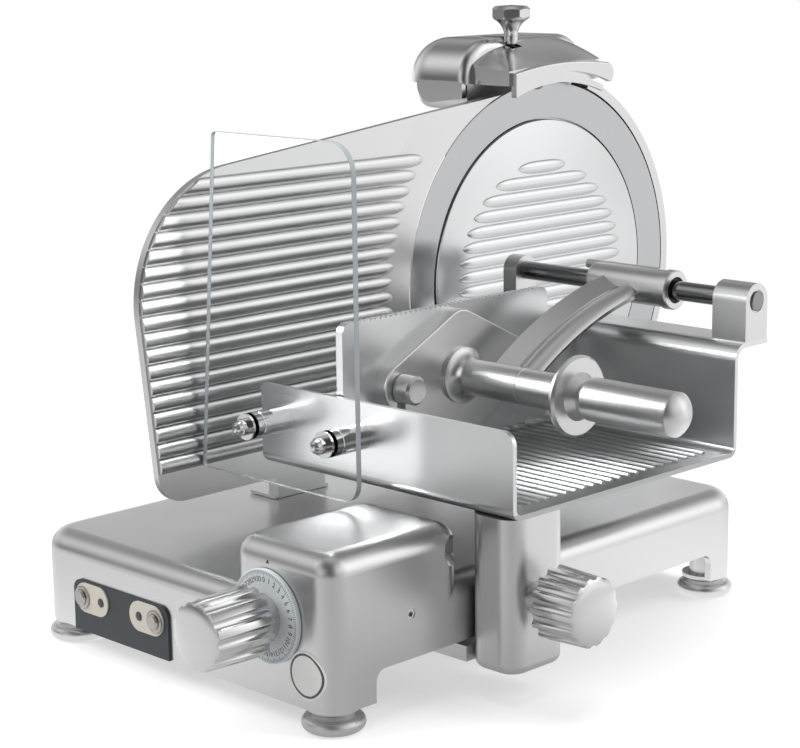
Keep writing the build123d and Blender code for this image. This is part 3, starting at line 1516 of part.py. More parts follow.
with BuildPart() as sharpener_hood:
    add(hood_slope())
    add(hood_lobe(0))
    add(hood_lobe(hood_wall), mode=Mode.SUBTRACT)
    box((lobe_right_x - hood_wall, stone_right + pocket_gap),
        (stone_y - stone_radius - pocket_gap, stone_y + stone_radius + pocket_gap),
        (hood_z - 1, stone_z + stone_radius + pocket_gap), Mode.SUBTRACT)
    box((hone_x[0] - pocket_gap, hone_boss_left),
        (hone_y - hone_radius - pocket_gap, hone_y + hone_radius + pocket_gap),
        (hood_z - 1, hone_z + hone_radius + slack), Mode.SUBTRACT)
    rod_x((hone_boss_left - 1, hood_inner_right + 1), hone_y, hone_z, hone_axle_radius + running,
          Mode.SUBTRACT)
    with BuildSketch(facing_front(hood_front_y + hood_wall)):
        with BuildLine():
            FilletPolyline(
                (skirt_left_x, hood_z + 2), (skirt_left_x, skirt_low), (skirt_foot_x, skirt_low),
                (body_right_x, skirt_right_low - 6.0), (body_right_x, hood_z + 2),
                radius=[0, 16.0, 0, 0, 0], close=True,
            )
        make_face()
    extrude(amount=hood_wall)
    box(slot_x, (lever_y - slot_half, lever_y + slot_half), (hood_z - 1, hood_crest + 1), Mode.SUBTRACT)
keep(sharpener_hood, "sharpener_hood")

# Bracket beside the knife: a visor that follows the knife's edge, a slit and a lower lip
visor_sheet = 6.0
visor_front_y = lip_front_y + 3.0
visor_rear_y = knife_y + 71.0
visor_right = hood_right_x + visor_sheet
lip_start_y = knife_y - 3.0
lip_end_y = knife_y + 59.0
knife_clear = knife_radius + 1.5


def above_knife(y, gap):
    """Height of a point over the knife's edge, by a gap along Z."""
    return knife_z + math.sqrt(knife_clear ** 2 - (y - knife_y) ** 2) + gap


with BuildPart() as sharpener_bracket:
    with BuildSketch(facing_right(hood_right_x)):
        with BuildLine():
            Line((visor_front_y, above_knife(visor_front_y, 1.0)), (visor_front_y, hood_z + 11.5))
            ThreePointArc((visor_front_y, hood_z + 11.5), (knife_y + 14.0, hood_z + 18.5),
                          (knife_y + 64.0, hood_z + 15.0))
            ThreePointArc((knife_y + 64.0, hood_z + 15.0), (visor_rear_y, hood_z + 8.0),
                          (visor_rear_y - 3.0, hood_z - 3.0))
            ThreePointArc((visor_rear_y - 3.0, hood_z - 3.0), (knife_y + 33.0, hood_z + 7.1),
                          (lip_start_y, hood_z + 10.0))
            Line((lip_start_y, hood_z + 10.0), (lip_start_y, above_knife(lip_start_y, 0)))
            ThreePointArc((lip_start_y, above_knife(lip_start_y, 0)),
                          (knife_y - 35.0, above_knife(knife_y - 35.0, 0.5)),
                          (visor_front_y, above_knife(visor_front_y, 1.0)))
        make_face()
    extrude(amount=visor_sheet)
    fillet(sharpener_bracket.faces().sort_by(Axis.X)[-1].edges().sort_by(Axis.Z)[-1], 2.0)
    with BuildSketch(facing_right(hood_right_x)):
        with BuildLine():
            Line((lip_start_y - 4.0, above_knife(lip_start_y - 4.0, 0)), (lip_start_y - 4.0, hood_z + 9.0))
            ThreePointArc((lip_start_y - 4.0, hood_z + 9.0), (knife_y + 28.0, hood_z + 4.0),
                          (lip_end_y, hood_z - 6.0))
            Line((lip_end_y, hood_z - 6.0), (lip_end_y, above_knife(lip_end_y, -1.5)))
            ThreePointArc((lip_end_y, above_knife(lip_end_y, -1.5)),
                          (knife_y + 28.0, above_knife(knife_y + 28.0, -1.0)),
                          (lip_start_y - 4.0, above_knife(lip_start_y - 4.0, 0)))
        make_face()
    extrude(amount=visor_sheet - 2.0)
keep(sharpener_bracket, "sharpener_bracket")

# Lever through the hood's slot, with its ball and its knob of eight flats
lever_knob_x = knife_x - 25.0
lever_knob_low = lever_z + 23.0
lever_knob_top = knife_z + 245.0
lever_knob_radius = 18.5
lever_knob_stem = 6.5
lever_ball = 5.5
lever_rise = lever_knob_low - lever_z
lever_run = lever_knob_x - lever_x
lever_length = math.hypot(lever_run, lever_rise)
with BuildPart() as sharpener_lever:
    lever_start = Plane(
        origin=(lever_x, lever_y, lever_z), x_dir=(0, 1, 0), z_dir=(lever_run, 0, lever_rise)
    )
    with BuildSketch(lever_start):
        Circle(lever_radius)
    extrude(amount=lever_length)
    rod_y((lever_y - ear_gap / 2 + slack, lever_y + ear_gap / 2 - slack), lever_x, lever_z,
          lever_hub_radius)
    rod_y((lever_y - ear_gap / 2 - ear_sheet, lever_y + ear_gap / 2 + ear_sheet), lever_x, lever_z,
          lever_pin_radius)
    with Locations((lever_knob_x, lever_y, lever_knob_low)):
        Sphere(lever_ball)
    box((lever_knob_x - 9, lever_knob_x + 9), (lever_y - 9, lever_y + 9),
        (lever_knob_low + 2.0, lever_knob_low + 9), Mode.SUBTRACT)
keep(sharpener_lever, "sharpener_lever")

with BuildPart() as sharpener_knob:
    knob_low = lever_knob_low + 2.0
    with BuildSketch(Plane(origin=(lever_knob_x, lever_y, 0), x_dir=(1, 0, 0), z_dir=(0, -1, 0))):
        with BuildLine():
            Polyline(
                (lever_knob_radius - 3.0, lever_knob_top - 13.0),
                (lever_knob_radius, lever_knob_top - 10.0), (lever_knob_radius, lever_knob_top - 4.5),
                (lever_knob_radius - 4.0, lever_knob_top - 1.0), (0, lever_knob_top), (0, knob_low),
                (lever_knob_stem, knob_low),
            )
            ThreePointArc((lever_knob_stem, knob_low), (lever_knob_stem + 2.6, lever_knob_top - 18.5),
                          (lever_knob_radius - 3.0, lever_knob_top - 13.0))
        make_face()
    revolve(axis=Axis((lever_knob_x, lever_y, 0), (0, 0, 1)))
    with BuildSketch(Plane.XY.offset(knob_low)):
        with Locations((lever_knob_x, lever_y)):
            RegularPolygon(lever_knob_radius, 8, rotation=22.5)
    extrude(amount=lever_knob_top - knob_low, mode=Mode.INTERSECT)
keep(sharpener_knob, "sharpener_knob")

with BuildPart() as grinding_stone:
    turned_x(
        stone_y, stone_z,
        (stone_right, 0), (stone_right, stone_radius), (stone_right - stone_width, stone_radius),
        (stone_right - stone_width, stone_axle_radius), (carrier_x[0] - 3, stone_axle_radius),
        (carrier_x[0] - 3, 0),
    )
keep(grinding_stone, "grinding_stone")

with BuildPart() as honing_stone:
    turned_x(
        hone_y, hone_z,
        (hone_x[0], 0), (hone_x[0], hone_radius), (hone_x[1], hone_radius), (hone_x[1], hone_axle_radius),
        (hood_inner_right + 1 - slack, hone_axle_radius), (hood_inner_right + 1 - slack, 0),
    )
keep(honing_stone, "honing_stone")
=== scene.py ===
import math

import bpy
from bpy.props import FloatProperty, FloatVectorProperty, IntProperty, PointerProperty
from mathutils import Matrix, Vector


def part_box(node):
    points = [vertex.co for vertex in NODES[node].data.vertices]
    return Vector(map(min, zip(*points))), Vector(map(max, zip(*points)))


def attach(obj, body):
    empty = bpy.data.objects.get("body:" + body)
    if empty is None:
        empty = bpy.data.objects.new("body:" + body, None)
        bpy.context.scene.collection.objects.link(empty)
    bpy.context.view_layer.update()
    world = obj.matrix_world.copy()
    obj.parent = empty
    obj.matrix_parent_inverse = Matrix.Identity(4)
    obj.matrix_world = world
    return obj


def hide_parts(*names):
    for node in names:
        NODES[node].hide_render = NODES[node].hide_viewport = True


bl_info = {
    "name": "Food slicer",
    "version": (1, 0, 0),
    "blender": (4, 5, 0),
    "location": "View3D > Sidebar > Slicer",
    "description": "Finishes and small pieces of an upright-knife food slicer",
    "category": "Object",
}

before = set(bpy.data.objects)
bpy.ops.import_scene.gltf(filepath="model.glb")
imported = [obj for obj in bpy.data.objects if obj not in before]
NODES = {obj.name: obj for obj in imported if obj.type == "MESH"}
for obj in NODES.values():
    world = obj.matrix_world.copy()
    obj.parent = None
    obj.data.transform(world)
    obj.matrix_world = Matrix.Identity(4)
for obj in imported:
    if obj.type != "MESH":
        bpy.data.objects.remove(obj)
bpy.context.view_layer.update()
MM = 0.001
# Points closer than this are one, and edges flatter than this are smooth
MERGE = 0.01 * MM
SMOOTH = math.radians(40)
# A face counts as square to an axis from this share of its normal
SQUARE = 0.9


# Sizes and colours that a user would change
class SlicerFinishes(bpy.types.PropertyGroup):
    cast: FloatVectorProperty(
        name="Cast aluminium", description="Colour of the satin castings", subtype="COLOR",
        default=(0.68, 0.68, 0.68), min=0, max=1,
    )
    sheet: FloatVectorProperty(
        name="Sheet", description="Colour of the brushed sheet", subtype="COLOR",
        default=(0.71, 0.715, 0.72), min=0, max=1,
    )
    steel: FloatVectorProperty(
        name="Steel", description="Colour of polished steel", subtype="COLOR",
        default=(0.66, 0.66, 0.66), min=0, max=1,
    )
    panel: FloatVectorProperty(
        name="Panel", description="Colour of the control panel's film", subtype="COLOR",
        default=(0.028, 0.035, 0.042), min=0, max=1,
    )
    pill: FloatVectorProperty(
        name="Button plates", description="Colour of the plates round the buttons", subtype="COLOR",
        default=(0.58, 0.54, 0.48), min=0, max=1,
    )
    glass: FloatVectorProperty(
        name="Guard", description="Tint of the clear guard", subtype="COLOR",
        default=(0.97, 0.985, 0.985), min=0, max=1,
    )
    foot: FloatVectorProperty(
        name="Feet", description="Colour of the feet", subtype="COLOR",
        default=(0.66, 0.66, 0.665), min=0, max=1,
    )
    glass_edge: FloatVectorProperty(
        name="Guard edge", description="Colour of the clear guard's cut edges", subtype="COLOR",
        default=(0.40, 0.44, 0.46), min=0, max=1,
    )
    ink: FloatVectorProperty(
        name="Ink", description="Colour of the dial's figures", subtype="COLOR",
        default=(0.02, 0.022, 0.025), min=0, max=1,
    )


class SlicerSizes(bpy.types.PropertyGroup):
    figure_height: FloatProperty(
        name="Figure height", description="Height of the dial's figures", unit="LENGTH",
        default=4.0 * MM, min=1 * MM, max=6 * MM,
    )
    last_figure: IntProperty(
        name="Last figure", description="Highest figure on the dial", default=30, min=5, max=40,
    )
    mark_height: FloatProperty(
        name="Mark thickness", description="How far printed marks stand proud", unit="LENGTH",
        default=0.06 * MM, min=0.01 * MM, max=0.5 * MM,
    )
    thickness_knob: FloatProperty(
        name="Thickness knob", description="Radius of the thickness knob", unit="LENGTH",
        default=26.5 * MM, min=15 * MM, max=40 * MM,
    )
    lock_knob: FloatProperty(
        name="Lock knob", description="Radius of the carriage lock knob", unit="LENGTH",
        default=27.5 * MM, min=15 * MM, max=40 * MM,
    )
    pane_edge: FloatProperty(
        name="Pane edge", description="Round on the clear guard's edges", unit="LENGTH",
        default=0.5 * MM, min=0.1 * MM, max=2 * MM,
    )
    floor_size: FloatProperty(
        name="Floor", description="Half the side of the studio floor", unit="LENGTH",
        default=6.0, min=2.0, max=20.0,
    )


def finishes():
    return bpy.context.scene.slicer_finishes


def sizes():
    return bpy.context.scene.slicer_sizes


# Selection and mesh helpers
def deselect():
    if bpy.context.object and bpy.context.object.mode != "OBJECT":
        bpy.ops.object.mode_set(mode="OBJECT")
    bpy.ops.object.select_all(action="DESELECT")


def activate(piece):
    """Selects one piece alone and makes it active."""
    deselect()
    piece.select_set(True)
    bpy.context.view_layer.objects.active = piece


def settle(piece, name, body, material):
    """Names a finished piece, puts its place in its mesh and lets it ride on its body."""
    activate(piece)
    bpy.ops.object.transform_apply(location=True, rotation=True, scale=True)
    piece.name = name
    piece.data.name = name
    piece.data.materials.clear()
    piece.data.materials.append(material)
    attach(piece, body)


def join(pieces):
    """One object from several, the first one kept."""
    deselect()
    for piece in pieces:
        piece.select_set(True)
    bpy.context.view_layer.objects.active = pieces[0]
    if len(pieces) > 1:
        bpy.ops.object.join()
    return bpy.context.object


def pick_faces(piece, wanted):
    """Opens a piece in edit mode with only the wanted faces selected."""
    activate(piece)
    bpy.ops.object.mode_set(mode="EDIT")
    bpy.ops.mesh.select_mode(type="FACE")
    bpy.ops.mesh.select_all(action="DESELECT")
    bpy.ops.object.mode_set(mode="OBJECT")
    for face in piece.data.polygons:
        face.select = wanted(face)
    bpy.ops.object.mode_set(mode="EDIT")


def cut_off(piece, place, outward, fill=True):
    """Cuts a piece at a plane, drops what lies outward of it and closes the cut if asked."""
    pick_faces(piece, lambda face: True)
    bpy.ops.mesh.bisect(plane_co=place, plane_no=outward, use_fill=fill, clear_outer=True)
    bpy.ops.object.mode_set(mode="OBJECT")


def apply_modifier(piece, kind, **settings):
    activate(piece)
    modifier = piece.modifiers.new(kind.lower(), kind)
    for setting, value in settings.items():
        setattr(modifier, setting, value)
    bpy.ops.object.modifier_apply(modifier=modifier.name)


def copy_of(piece):
    """A copy with its own mesh."""
    activate(piece)
    bpy.ops.object.duplicate()
    return bpy.context.object


# Shader node groups
def new_group(name, inputs, outputs):
    group = bpy.data.node_groups.new(name, "ShaderNodeTree")
    for label, kind, value in inputs:
        socket = group.interface.new_socket(label, in_out="INPUT", socket_type=kind)
        if value is not None:
            socket.default_value = value
    for label, kind in outputs:
        group.interface.new_socket(label, in_out="OUTPUT", socket_type=kind)
    start = group.nodes.new("NodeGroupInput")
    end = group.nodes.new("NodeGroupOutput")
    return group, start, end


def math_node(tree, operation, first, second=None):
    node = tree.nodes.new("ShaderNodeMath")
    node.operation = operation
    for socket, value in zip(node.inputs, (first, second)):
        if value is None:
            continue
        if isinstance(value, (int, float)):
            socket.default_value = value
        else:
            tree.links.new(value, socket)
    return node.outputs[0]


def blend_of(tree, first, second, share):
    """A share of the first value, and the rest from the second."""
    part = math_node(tree, "MULTIPLY", first, share)
    rest = math_node(tree, "MULTIPLY", second, 1 - share)
    return math_node(tree, "ADD", part, rest)


def noise_node(tree, vector, scale, detail=2.0, roughness=0.5):
    node = tree.nodes.new("ShaderNodeTexNoise")
    node.inputs["Detail"].default_value = detail
    node.inputs["Roughness"].default_value = roughness
    tree.links.new(vector, node.inputs["Vector"])
    if isinstance(scale, (int, float)):
        node.inputs["Scale"].default_value = scale
    else:
        tree.links.new(scale, node.inputs["Scale"])
    return node.outputs["Fac"]


# How much the fine lines or grain, rather than the clouds, change the tone
BRUSH_SHARE = 0.6
GRAIN_SHARE = 0.3


def brush_group():
    """Fine parallel lines: the vector is stretched so that the noise runs along one direction."""
    group, start, end = new_group(
        "brush_lines",
        [("Vector", "NodeSocketVector", None), ("Across", "NodeSocketVector", (900.0, 12.0, 900.0)),
         ("Clouds", "NodeSocketFloat", 14.0)],
        [("Tone", "NodeSocketFloat"), ("Height", "NodeSocketFloat")],
    )
    stretch = group.nodes.new("ShaderNodeVectorMath")
    stretch.operation = "MULTIPLY"
    group.links.new(start.outputs["Vector"], stretch.inputs[0])
    group.links.new(start.outputs["Across"], stretch.inputs[1])
    lines = noise_node(group, stretch.outputs[0], 1.0, detail=3.0, roughness=0.6)
    clouds = noise_node(group, start.outputs["Vector"], start.outputs["Clouds"])
    group.links.new(blend_of(group, lines, clouds, BRUSH_SHARE), end.inputs["Tone"])
    group.links.new(lines, end.inputs["Height"])
    return group


def cast_group():
    """Soft clouds and fine blasted grain of a satin casting."""
    group, start, end = new_group(
        "cast_grain",
        [("Vector", "NodeSocketVector", None), ("Grain", "NodeSocketFloat", 1400.0),
         ("Clouds", "NodeSocketFloat", 9.0)],
        [("Tone", "NodeSocketFloat"), ("Height", "NodeSocketFloat")],
    )
    grain = noise_node(group, start.outputs["Vector"], start.outputs["Grain"], roughness=0.55)
    clouds = noise_node(group, start.outputs["Vector"], start.outputs["Clouds"], detail=3.0, roughness=0.55)
    group.links.new(blend_of(group, grain, clouds, GRAIN_SHARE), end.inputs["Tone"])
    group.links.new(grain, end.inputs["Height"])
    return group


def base_material(name):
    material = bpy.data.materials.new(name)
    material.use_nodes = True
    tree = material.node_tree
    shader = tree.nodes["Principled BSDF"]
    place = tree.nodes.new("ShaderNodeTexCoord")
    return material, tree, shader, place.outputs["Object"]


# Range that the noise mostly stays in
NOISE_RANGE = (0.3, 0.7)


def ramp_between(tree, value, low, high, name):
    """Low to high over the range of the noise."""
    node = tree.nodes.new("ShaderNodeMapRange")
    node.label = name
    node.inputs["From Min"].default_value = NOISE_RANGE[0]
    node.inputs["From Max"].default_value = NOISE_RANGE[1]
    node.inputs["To Min"].default_value = low
    node.inputs["To Max"].default_value = high
    tree.links.new(value, node.inputs["Value"])
    return node.outputs["Result"]


def tinted(tree, value, color, spread):
    """The colour, a little darker or lighter with the value."""
    node = tree.nodes.new("ShaderNodeMix")
    node.data_type = "RGBA"
    node.inputs["A"].default_value = (*(c * (1 - spread) for c in color), 1)
    node.inputs["B"].default_value = (*(min(1, c * (1 + spread)) for c in color), 1)
    tree.links.new(value, node.inputs["Factor"])
    return node.outputs["Result"]


def finish_with(tree, shader, group, vector, values, color, spread, rough, bump):
    """Joins a grain group to the shader: colour, roughness and bump."""
    effect = tree.nodes.new("ShaderNodeGroup")
    effect.node_tree = group
    tree.links.new(vector, effect.inputs["Vector"])
    for label, value in values.items():
        effect.inputs[label].default_value = value
    tone = effect.outputs["Tone"]
    tree.links.new(tinted(tree, tone, color, spread), shader.inputs["Base Color"])
    tree.links.new(ramp_between(tree, tone, *rough, "roughness"), shader.inputs["Roughness"])
    relief = tree.nodes.new("ShaderNodeBump")
    relief.inputs["Strength"].default_value = bump[0]
    relief.inputs["Distance"].default_value = bump[1]
    tree.links.new(effect.outputs["Height"], relief.inputs["Height"])
    tree.links.new(relief.outputs["Normal"], shader.inputs["Normal"])


# Relief of the finishes: strength and depth, or depth alone
CAST_RELIEF = (0.06, 0.4 * MM)
FINE_RELIEF = 0.3 * MM
PLASTIC_GRAIN = 900.0
# Clear guard: refraction that keeps what lies behind it in place, and a faint film
GUARD_IOR = 1.15
GUARD_FILM = 0.02
GUARD_CLOUDS = 22.0
# Ribbed floor of the meat tray: its height above the tray's lowest point, how much duller it is, and the
# painted shade that darkens its colour
TRAY_FLOOR = 5.0 * MM
TRAY_DULL = 0.17
TRAY_PAINTED_SHADE = 0.68


def cast_metal(name, color, rough=(0.27, 0.36), spread=0.05):
    material, tree, shader, place = base_material(name)
    shader.inputs["Metallic"].default_value = 1.0
    group = bpy.data.node_groups.get("cast_grain") or cast_group()
    finish_with(tree, shader, group, place, {}, color, spread, rough, CAST_RELIEF)
    return material


def brushed_metal(name, color, across, rough=(0.27, 0.30), spread=0.015, bump=0.001):
    material, tree, shader, place = base_material(name)
    shader.inputs["Metallic"].default_value = 1.0
    group = bpy.data.node_groups.get("brush_lines") or brush_group()
    finish_with(tree, shader, group, place, {"Across": across}, color, spread, rough, (bump, FINE_RELIEF))
    return material


def tray_metal(name, color, across):
    """Brushed sheet that is duller on the tray's ribbed floor, where its colour is also darkened as painted
    shade.
    """
    material = brushed_metal(name, color, across)
    tree = material.node_tree
    shader = tree.nodes["Principled BSDF"]
    split = tree.nodes.new("ShaderNodeSeparateXYZ")
    tree.links.new(tree.nodes["Texture Coordinate"].outputs["Object"], split.inputs[0])
    floor = math_node(tree, "LESS_THAN", split.outputs["Z"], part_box("meat_tray")[0].z + TRAY_FLOOR)
    rough = shader.inputs["Roughness"].links[0].from_socket
    worn = math_node(tree, "ADD", rough, math_node(tree, "MULTIPLY", floor, TRAY_DULL))
    tree.links.new(worn, shader.inputs["Roughness"])
    # Painted shade: the colour of the ribbed floor, low in the tray, is darkened
    tone = tree.nodes.new("ShaderNodeMix")
    tone.data_type = "RGBA"
    tone.blend_type = "MULTIPLY"
    tone.inputs["B"].default_value = (*(TRAY_PAINTED_SHADE,) * 3, 1)
    tree.links.new(floor, tone.inputs["Factor"])
    tree.links.new(shader.inputs["Base Color"].links[0].from_socket, tone.inputs["A"])
    tree.links.new(tone.outputs["Result"], shader.inputs["Base Color"])
    return material


def plain_stuff(name, color, rough=(0.4, 0.5), spread=0.08, bump=0.08):
    material, tree, shader, place = base_material(name)
    group = bpy.data.node_groups.get("cast_grain") or cast_group()
    values = {"Grain": PLASTIC_GRAIN}
    finish_with(tree, shader, group, place, values, color, spread, rough, (bump, FINE_RELIEF))
    return material


def clear_guard(name, color):
    material, tree, shader, place = base_material(name)
    shader.inputs["Base Color"].default_value = (*color, 1)
    shader.inputs["Transmission Weight"].default_value = 1.0
    shader.inputs["IOR"].default_value = GUARD_IOR
    film = noise_node(tree, place, GUARD_CLOUDS)
    tree.links.new(ramp_between(tree, film, 0.0, GUARD_FILM, "film"), shader.inputs["Roughness"])
    return material


# How fine the brushing is along each axis
BRUSHED_X = (30.0, 2400.0, 2400.0)
BRUSHED_Y = (2400.0, 30.0, 2400.0)
DRAWN_X = (900.0, 60.0, 60.0)
POLISHED = (60.0, 60.0, 60.0)
GROUND = (90.0, 90.0, 90.0)


def make_materials():
    """All materials by name: colour, brushing, range of roughness, spread of the tone and relief."""
    look = finishes()
    recipes = {
        "satin_casting": (cast_metal, look.cast),
        "polished_casting": (cast_metal, look.cast, (0.15, 0.21), 0.03),
        "foot_alloy": (cast_metal, look.foot, (0.28, 0.4)),
        "ground_knife": (brushed_metal, (0.47, 0.473, 0.483), GROUND, (0.2, 0.24), 0.01),
        "brushed_sheet": (brushed_metal, look.sheet, BRUSHED_X),
        # The tray's sheet carries painted shade on its ribbed floor
        "tray_sheet": (tray_metal, look.sheet, BRUSHED_X),
        "brushed_along": (brushed_metal, look.sheet, BRUSHED_Y),
        # Pusher rod: polished steel whose colour is darkened, painted shade standing in for the dark
        # surroundings it mirrors
        "dark_rod": (brushed_metal, (0.26, 0.26, 0.265), DRAWN_X, (0.10, 0.16), 0.03, 0.002),
        "polished_steel": (brushed_metal, look.steel, POLISHED, (0.08, 0.14), 0.03, 0.002),
        "plain_steel": (brushed_metal, look.steel, GROUND, (0.22, 0.30), 0.03, 0.001),
        "turned_button": (brushed_metal, (0.42, 0.405, 0.38), POLISHED, (0.16, 0.24)),
        "panel_film": (plain_stuff, look.panel, (0.42, 0.5)),
        "pill_plate": (plain_stuff, look.pill, (0.38, 0.48), 0.03, 0.02),
        "grey_ring": (plain_stuff, (0.10, 0.10, 0.105), (0.3, 0.4), 0.03, 0.02),
        "dark_plastic": (plain_stuff, (0.03, 0.03, 0.032)),
        "lens_smoke": (plain_stuff, (0.045, 0.055, 0.06), (0.12, 0.2)),
        "dial_sheet": (plain_stuff, (0.60, 0.64, 0.66), (0.28, 0.36), 0.03, 0.02),
        "stone": (plain_stuff, (0.50, 0.47, 0.42), (0.8, 0.95), 0.15, 0.4),
        "motor_paint": (plain_stuff, (0.16, 0.17, 0.19), (0.45, 0.55)),
        "belt_rubber": (plain_stuff, (0.03, 0.03, 0.03), (0.6, 0.75)),
        "guard_edge": (plain_stuff, look.glass_edge, (0.25, 0.35), 0.03, 0.01),
        "ink": (plain_stuff, look.ink, (0.45, 0.55)),
        "white_enamel": (plain_stuff, (0.90, 0.90, 0.89), (0.25, 0.35), 0.02, 0.02),
        "clear_guard": (clear_guard, look.glass),
    }
    return {name: make(name, *values) for name, (make, *values) in recipes.items()}


# Which finish each CAD piece takes
NODE_FINISH = {
    "satin_casting": (
        "base_casting", "carriage_arm", "carriage_post", "rod_block_left", "rod_block_right", "pusher_arm",
        "plate_bracket", "gauge_plate", "gauge_slide", "knife_upright", "knife_guard", "sharpener_body",
        "sharpener_bracket", "cover_tie_knob", "knife_pulley", "hand_guard", "pusher_handle", "pusher_tube",
    ),
    "polished_casting": ("lock_knob", "thickness_knob", "sharpener_knob", "sharpener_hood"),
    "ground_knife": ("knife",),
    "brushed_sheet": ("upright_cover", "knife_cover"),
    "tray_sheet": ("meat_tray",),
    "brushed_along": ("pusher_plate",),
    "polished_steel": ("carriage_guide_rod", "gauge_guide_rod", "guard_nuts", "guard_studs", "side_screw"),
    "turned_button": ("button_bezels", "start_button", "stop_button"),
    # The pusher rod's dark colour is painted shade
    "dark_rod": ("pusher_rod",),
    "plain_steel": (
        "roller_rail", "roller_pin", "scroll_cam", "cover_screws", "motor_pulley", "knife_spindle",
        "knife_bearings", "sharpener_lever", "plate_lock_pin",
    ),
    "panel_film": ("control_panel",),
    "pill_plate": ("button_plates",),
    "foot_alloy": ("feet",),
    "dark_plastic": ("contact_blocks", "cable_gland", "guide_roller", "slider_bushes", "rod_bushes"),
    "lens_smoke": ("indicator_lenses",),
    "dial_sheet": ("thickness_dial",),
    "stone": ("grinding_stone", "honing_stone"),
    "motor_paint": ("drive_motor",),
    "belt_rubber": ("drive_belt",),
    "clear_guard": ("guard_glass",),
}


class SLICER_OT_finishes(bpy.types.Operator):
    """Give every CAD piece its finish"""

    bl_idname = "slicer.finishes"
    bl_label = "Finishes"

    def execute(self, context):
        made = make_materials()
        dressed = set()
        for finish, names in NODE_FINISH.items():
            for name in names:
                node = NODES[name]
                node.data.materials.clear()
                node.data.materials.append(made[finish])
                dressed.add(name)
        bare = sorted(set(NODES) - dressed)
        if bare:
            raise RuntimeError(f"no finish for {bare}")
        return {"FINISHED"}


# Clear guard: a pane with clear faces and grey cut edges
PANE_FLAT = math.radians(1)
PANE_FACE = 0.99


class SLICER_OT_guard_pane(bpy.types.Operator):
    """Clear pane with softened, grey edges"""

    bl_idname = "slicer.guard_pane"
    bl_label = "Guard pane"

    def execute(self, context):
        pane = copy_of(NODES["guard_glass"])
        pane.parent = None
        pick_faces(pane, lambda face: True)
        bpy.ops.mesh.remove_doubles(threshold=MERGE)
        bpy.ops.mesh.dissolve_limited(angle_limit=PANE_FLAT)
        bpy.ops.object.mode_set(mode="OBJECT")
        apply_modifier(pane, "BEVEL", width=sizes().pane_edge, segments=2, angle_limit=SMOOTH)
        settle(pane, "guard_pane", "carriage", bpy.data.materials["clear_guard"])
        pane.data.materials.append(bpy.data.materials["guard_edge"])
        for face in pane.data.polygons:
            face.material_index = 0 if abs(face.normal.y) > PANE_FACE else 1
        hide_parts("guard_glass")
        return {"FINISHED"}


# Gauge plate: half-round ribs out to the plate's front edge, and the lip beside the knife
RIB_PITCH = 12.9 * MM
RIB_COUNT = 18
RIB_HEIGHT = 4.15 * MM
RIB_HALF = 6.3 * MM
RIB_NOSE = 20.0 * MM
RIB_BAR = 450.0 * MM
RIB_TOP = 117.5 * MM
RIB_END = 16.0 * MM
RIB_SIDES = 36
# Steps along a rib's nose: share of its length and share of its section
NOSE_STEPS = ((0.3, 0.95), (0.55, 0.83), (0.75, 0.66), (0.9, 0.43), (1.0, 0.12))
# Outline of the plate, measured from the knife's centre, and its corner, edge and rib sizes
PLATE_FOOT = 454.0 * MM
PLATE_REACH = 480.0 * MM
PLATE_DROP = 134.0 * MM
PLATE_FRONT_RISE = 119.6 * MM
PLATE_REAR_RISE = 167.5 * MM
PLATE_REAR = 52.0 * MM
PLATE_CORNER = 105.0 * MM
PLATE_EDGE = 1.2 * MM
PLATE_RIB = 4.0 * MM
LIP_GAP = 1.4 * MM
LIP_BACK = 0.6 * MM
LIP_FLAT = 8.0 * MM
LIP_RAMP = 36.0 * MM
LIP_STEPS = 72


def nosed_bar(height, half, nose, length):
    """Half-round bar along Y with its nose at the origin."""
    deselect()
    bpy.ops.mesh.primitive_cylinder_add(
        vertices=RIB_SIDES, radius=1, depth=length, rotation=(math.radians(90), 0, 0),
        location=(0, -nose - length / 2, 0),
    )
    bar = bpy.context.object
    bpy.ops.object.transform_apply(location=True, rotation=True, scale=True)
    bar.scale = (height, 1, half)
    bpy.ops.object.transform_apply(location=False, rotation=False, scale=True)
    cut_off(bar, (0, 0, 0), (-1, 0, 0))
    pick_faces(bar, lambda face: face.normal.y > SQUARE)
    reached, size = 0.0, 1.0
    for share, section in NOSE_STEPS:
        step = (share - reached) * nose
        bpy.ops.mesh.extrude_region_move(TRANSFORM_OT_translate={"value": (0, step, 0)})
        ratio = section / size
        bpy.ops.transform.resize(value=(ratio, 1, ratio), center_override=(0, 0, 0))
        reached, size = share, section
    bpy.ops.object.mode_set(mode="OBJECT")
    return bar


